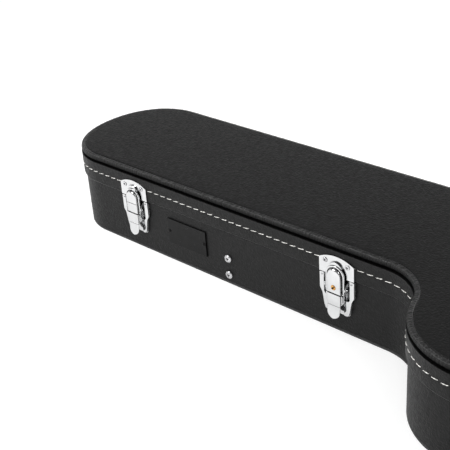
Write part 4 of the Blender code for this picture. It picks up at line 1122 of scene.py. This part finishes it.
def make_lining():
    piece = band("liner_plush", rounded(LINER_SECTION), "plush_lining", sharp=60)
    stand_for(piece, "tray_liner")
    for name, section, node in (("floor_plush", FLOOR_SECTION, "floor_padding"),
                                ("lid_plush", LINING_SECTION, "lid_lining")):
        outline = rounded(section, closed=False)
        piece = band(name, outline, "plush_lining", closed=False, sharp=60)
        stand_for(piece, node)

    dressed("lid_board", 0.3)
    for node, voxel in (("body_cradle", 5.0), ("neck_cradle", 4.0), ("neck_side_pad", 4.0)):
        soft_copy(node, voxel)
    soft_copy("compartment_door", 1.6, 2, 0.6)
    dressed("compartment_box", 0.4)
    dressed("compartment_hinge_rod", 0.15)
    dressed("door_pull_tab", 0.12)


# Room
def look_by_ray(tree, camera, mirrored, lit):
    """A strength for what the camera sees, one for reflections and one that lights the object.
    Each is a number or a socket."""
    path = tree.nodes.new("ShaderNodeLightPath")
    shiny = tree.nodes.new("ShaderNodeMath")
    shiny.operation = "MAXIMUM"
    tree.links.new(path.outputs["Is Glossy Ray"], shiny.inputs[0])
    tree.links.new(path.outputs["Is Transmission Ray"], shiny.inputs[1])
    unseen = choose(tree, shiny.outputs[0], mirrored, lit)
    return choose(tree, path.outputs["Is Camera Ray"], camera, unseen)


def choose(tree, share, chosen, other):
    """Chosen where share is 1, and other where it is 0."""
    mix = tree.nodes.new("ShaderNodeMix")
    mix.data_type = "FLOAT"
    tree.links.new(share, mix.inputs["Factor"])
    for socket, value in (("B", chosen), ("A", other)):
        if isinstance(value, (int, float)):
            mix.inputs[socket].default_value = value
        else:
            tree.links.new(value, mix.inputs[socket])
    return mix.outputs["Result"]


def studio_walls(tree):
    """What metal sees above the floor: a white sweep up to a low height, and a dim room over it."""
    place = tree.nodes.new("ShaderNodeTexCoord")
    parts = tree.nodes.new("ShaderNodeSeparateXYZ")
    tree.links.new(place.outputs["Generated"], parts.inputs["Vector"])
    fade = tree.nodes.new("ShaderNodeMapRange")
    set_inputs(fade, {"From Min": SWEEP_FADE[0], "From Max": SWEEP_FADE[1], "To Min": 1.0,
                      "To Max": ROOM_DIM})
    tree.links.new(parts.outputs["Z"], fade.inputs["Value"])
    return fade.outputs["Result"]


def make_world():
    world = bpy.data.worlds.new("studio")
    bpy.context.scene.world = world
    world.use_nodes = True
    tree = world.node_tree
    background = tree.nodes["Background"]
    set_inputs(background, {"Color": (1, 1, 1, 1)})
    strength = look_by_ray(tree, WORLD_SEEN, studio_walls(tree), WORLD_LIGHT)
    tree.links.new(strength, background.inputs["Strength"])


def make_floor():
    corners = [(x * FLOOR_HALF, y * FLOOR_HALF, 0) for x, y in ((-1, -1), (1, -1), (1, 1), (-1, 1))]
    mesh = bpy.data.meshes.new("floor")
    mesh.from_pydata(corners, [], [(0, 1, 2, 3)])
    floor = add_object("floor", mesh)
    floor.location.z = -0.2 * MM
    look = bpy.data.materials.new("pale_floor")
    look.use_nodes = True
    tree = look.node_tree
    shader = tree.nodes["Principled BSDF"]
    set_inputs(shader, {"Base Color": (0.80, 0.80, 0.80, 1), "Roughness": 0.9,
                        "Specular IOR Level": 0.1, "Emission Color": (1, 1, 1, 1)})
    tree.links.new(look_by_ray(tree, *FLOOR_GLOW), shader.inputs["Emission Strength"])
    mesh.materials.append(look)


def make_lamps():
    for name, (place, aim, size, power, mirrored) in LAMPS.items():
        lamp = bpy.data.lights.new(name, "AREA")
        lamp.shape = "DISK"
        lamp.size = size
        lamp.energy = power
        holder = add_object(name, lamp)
        holder.location = place
        holder.rotation_mode = "QUATERNION"
        holder.rotation_quaternion = (Vector(place) - Vector(aim)).to_track_quat("Z", "Y")
        holder.visible_glossy = mirrored


def make_camera():
    camera = bpy.data.cameras.new("camera")
    camera.lens = CAMERA_LENS
    camera.sensor_width = 36.0
    camera.clip_start = 0.05
    camera.clip_end = 50.0
    holder = add_object("camera", camera)
    yaw, pitch, roll = CAMERA_TURNS
    ahead = Vector((math.cos(yaw) * math.cos(pitch), math.sin(yaw) * math.cos(pitch),
                    -math.sin(pitch)))
    level = Vector((math.sin(yaw), -math.cos(yaw), 0))
    rise = level.cross(ahead)
    right = math.cos(roll) * level + math.sin(roll) * rise
    up = -math.sin(roll) * level + math.cos(roll) * rise
    turn = Matrix((right, up, -ahead)).transposed().to_4x4()
    holder.matrix_world = Matrix.Translation(CAMERA_PLACE) @ turn
    bpy.context.scene.camera = holder


bpy.context.scene.view_settings.view_transform = "Standard"
make_camera()
make_shell()
make_stitches()
make_latches()
make_hinges()
make_screws_and_plate()
make_handle()
make_lining()
make_world()
make_floor()
make_lamps()
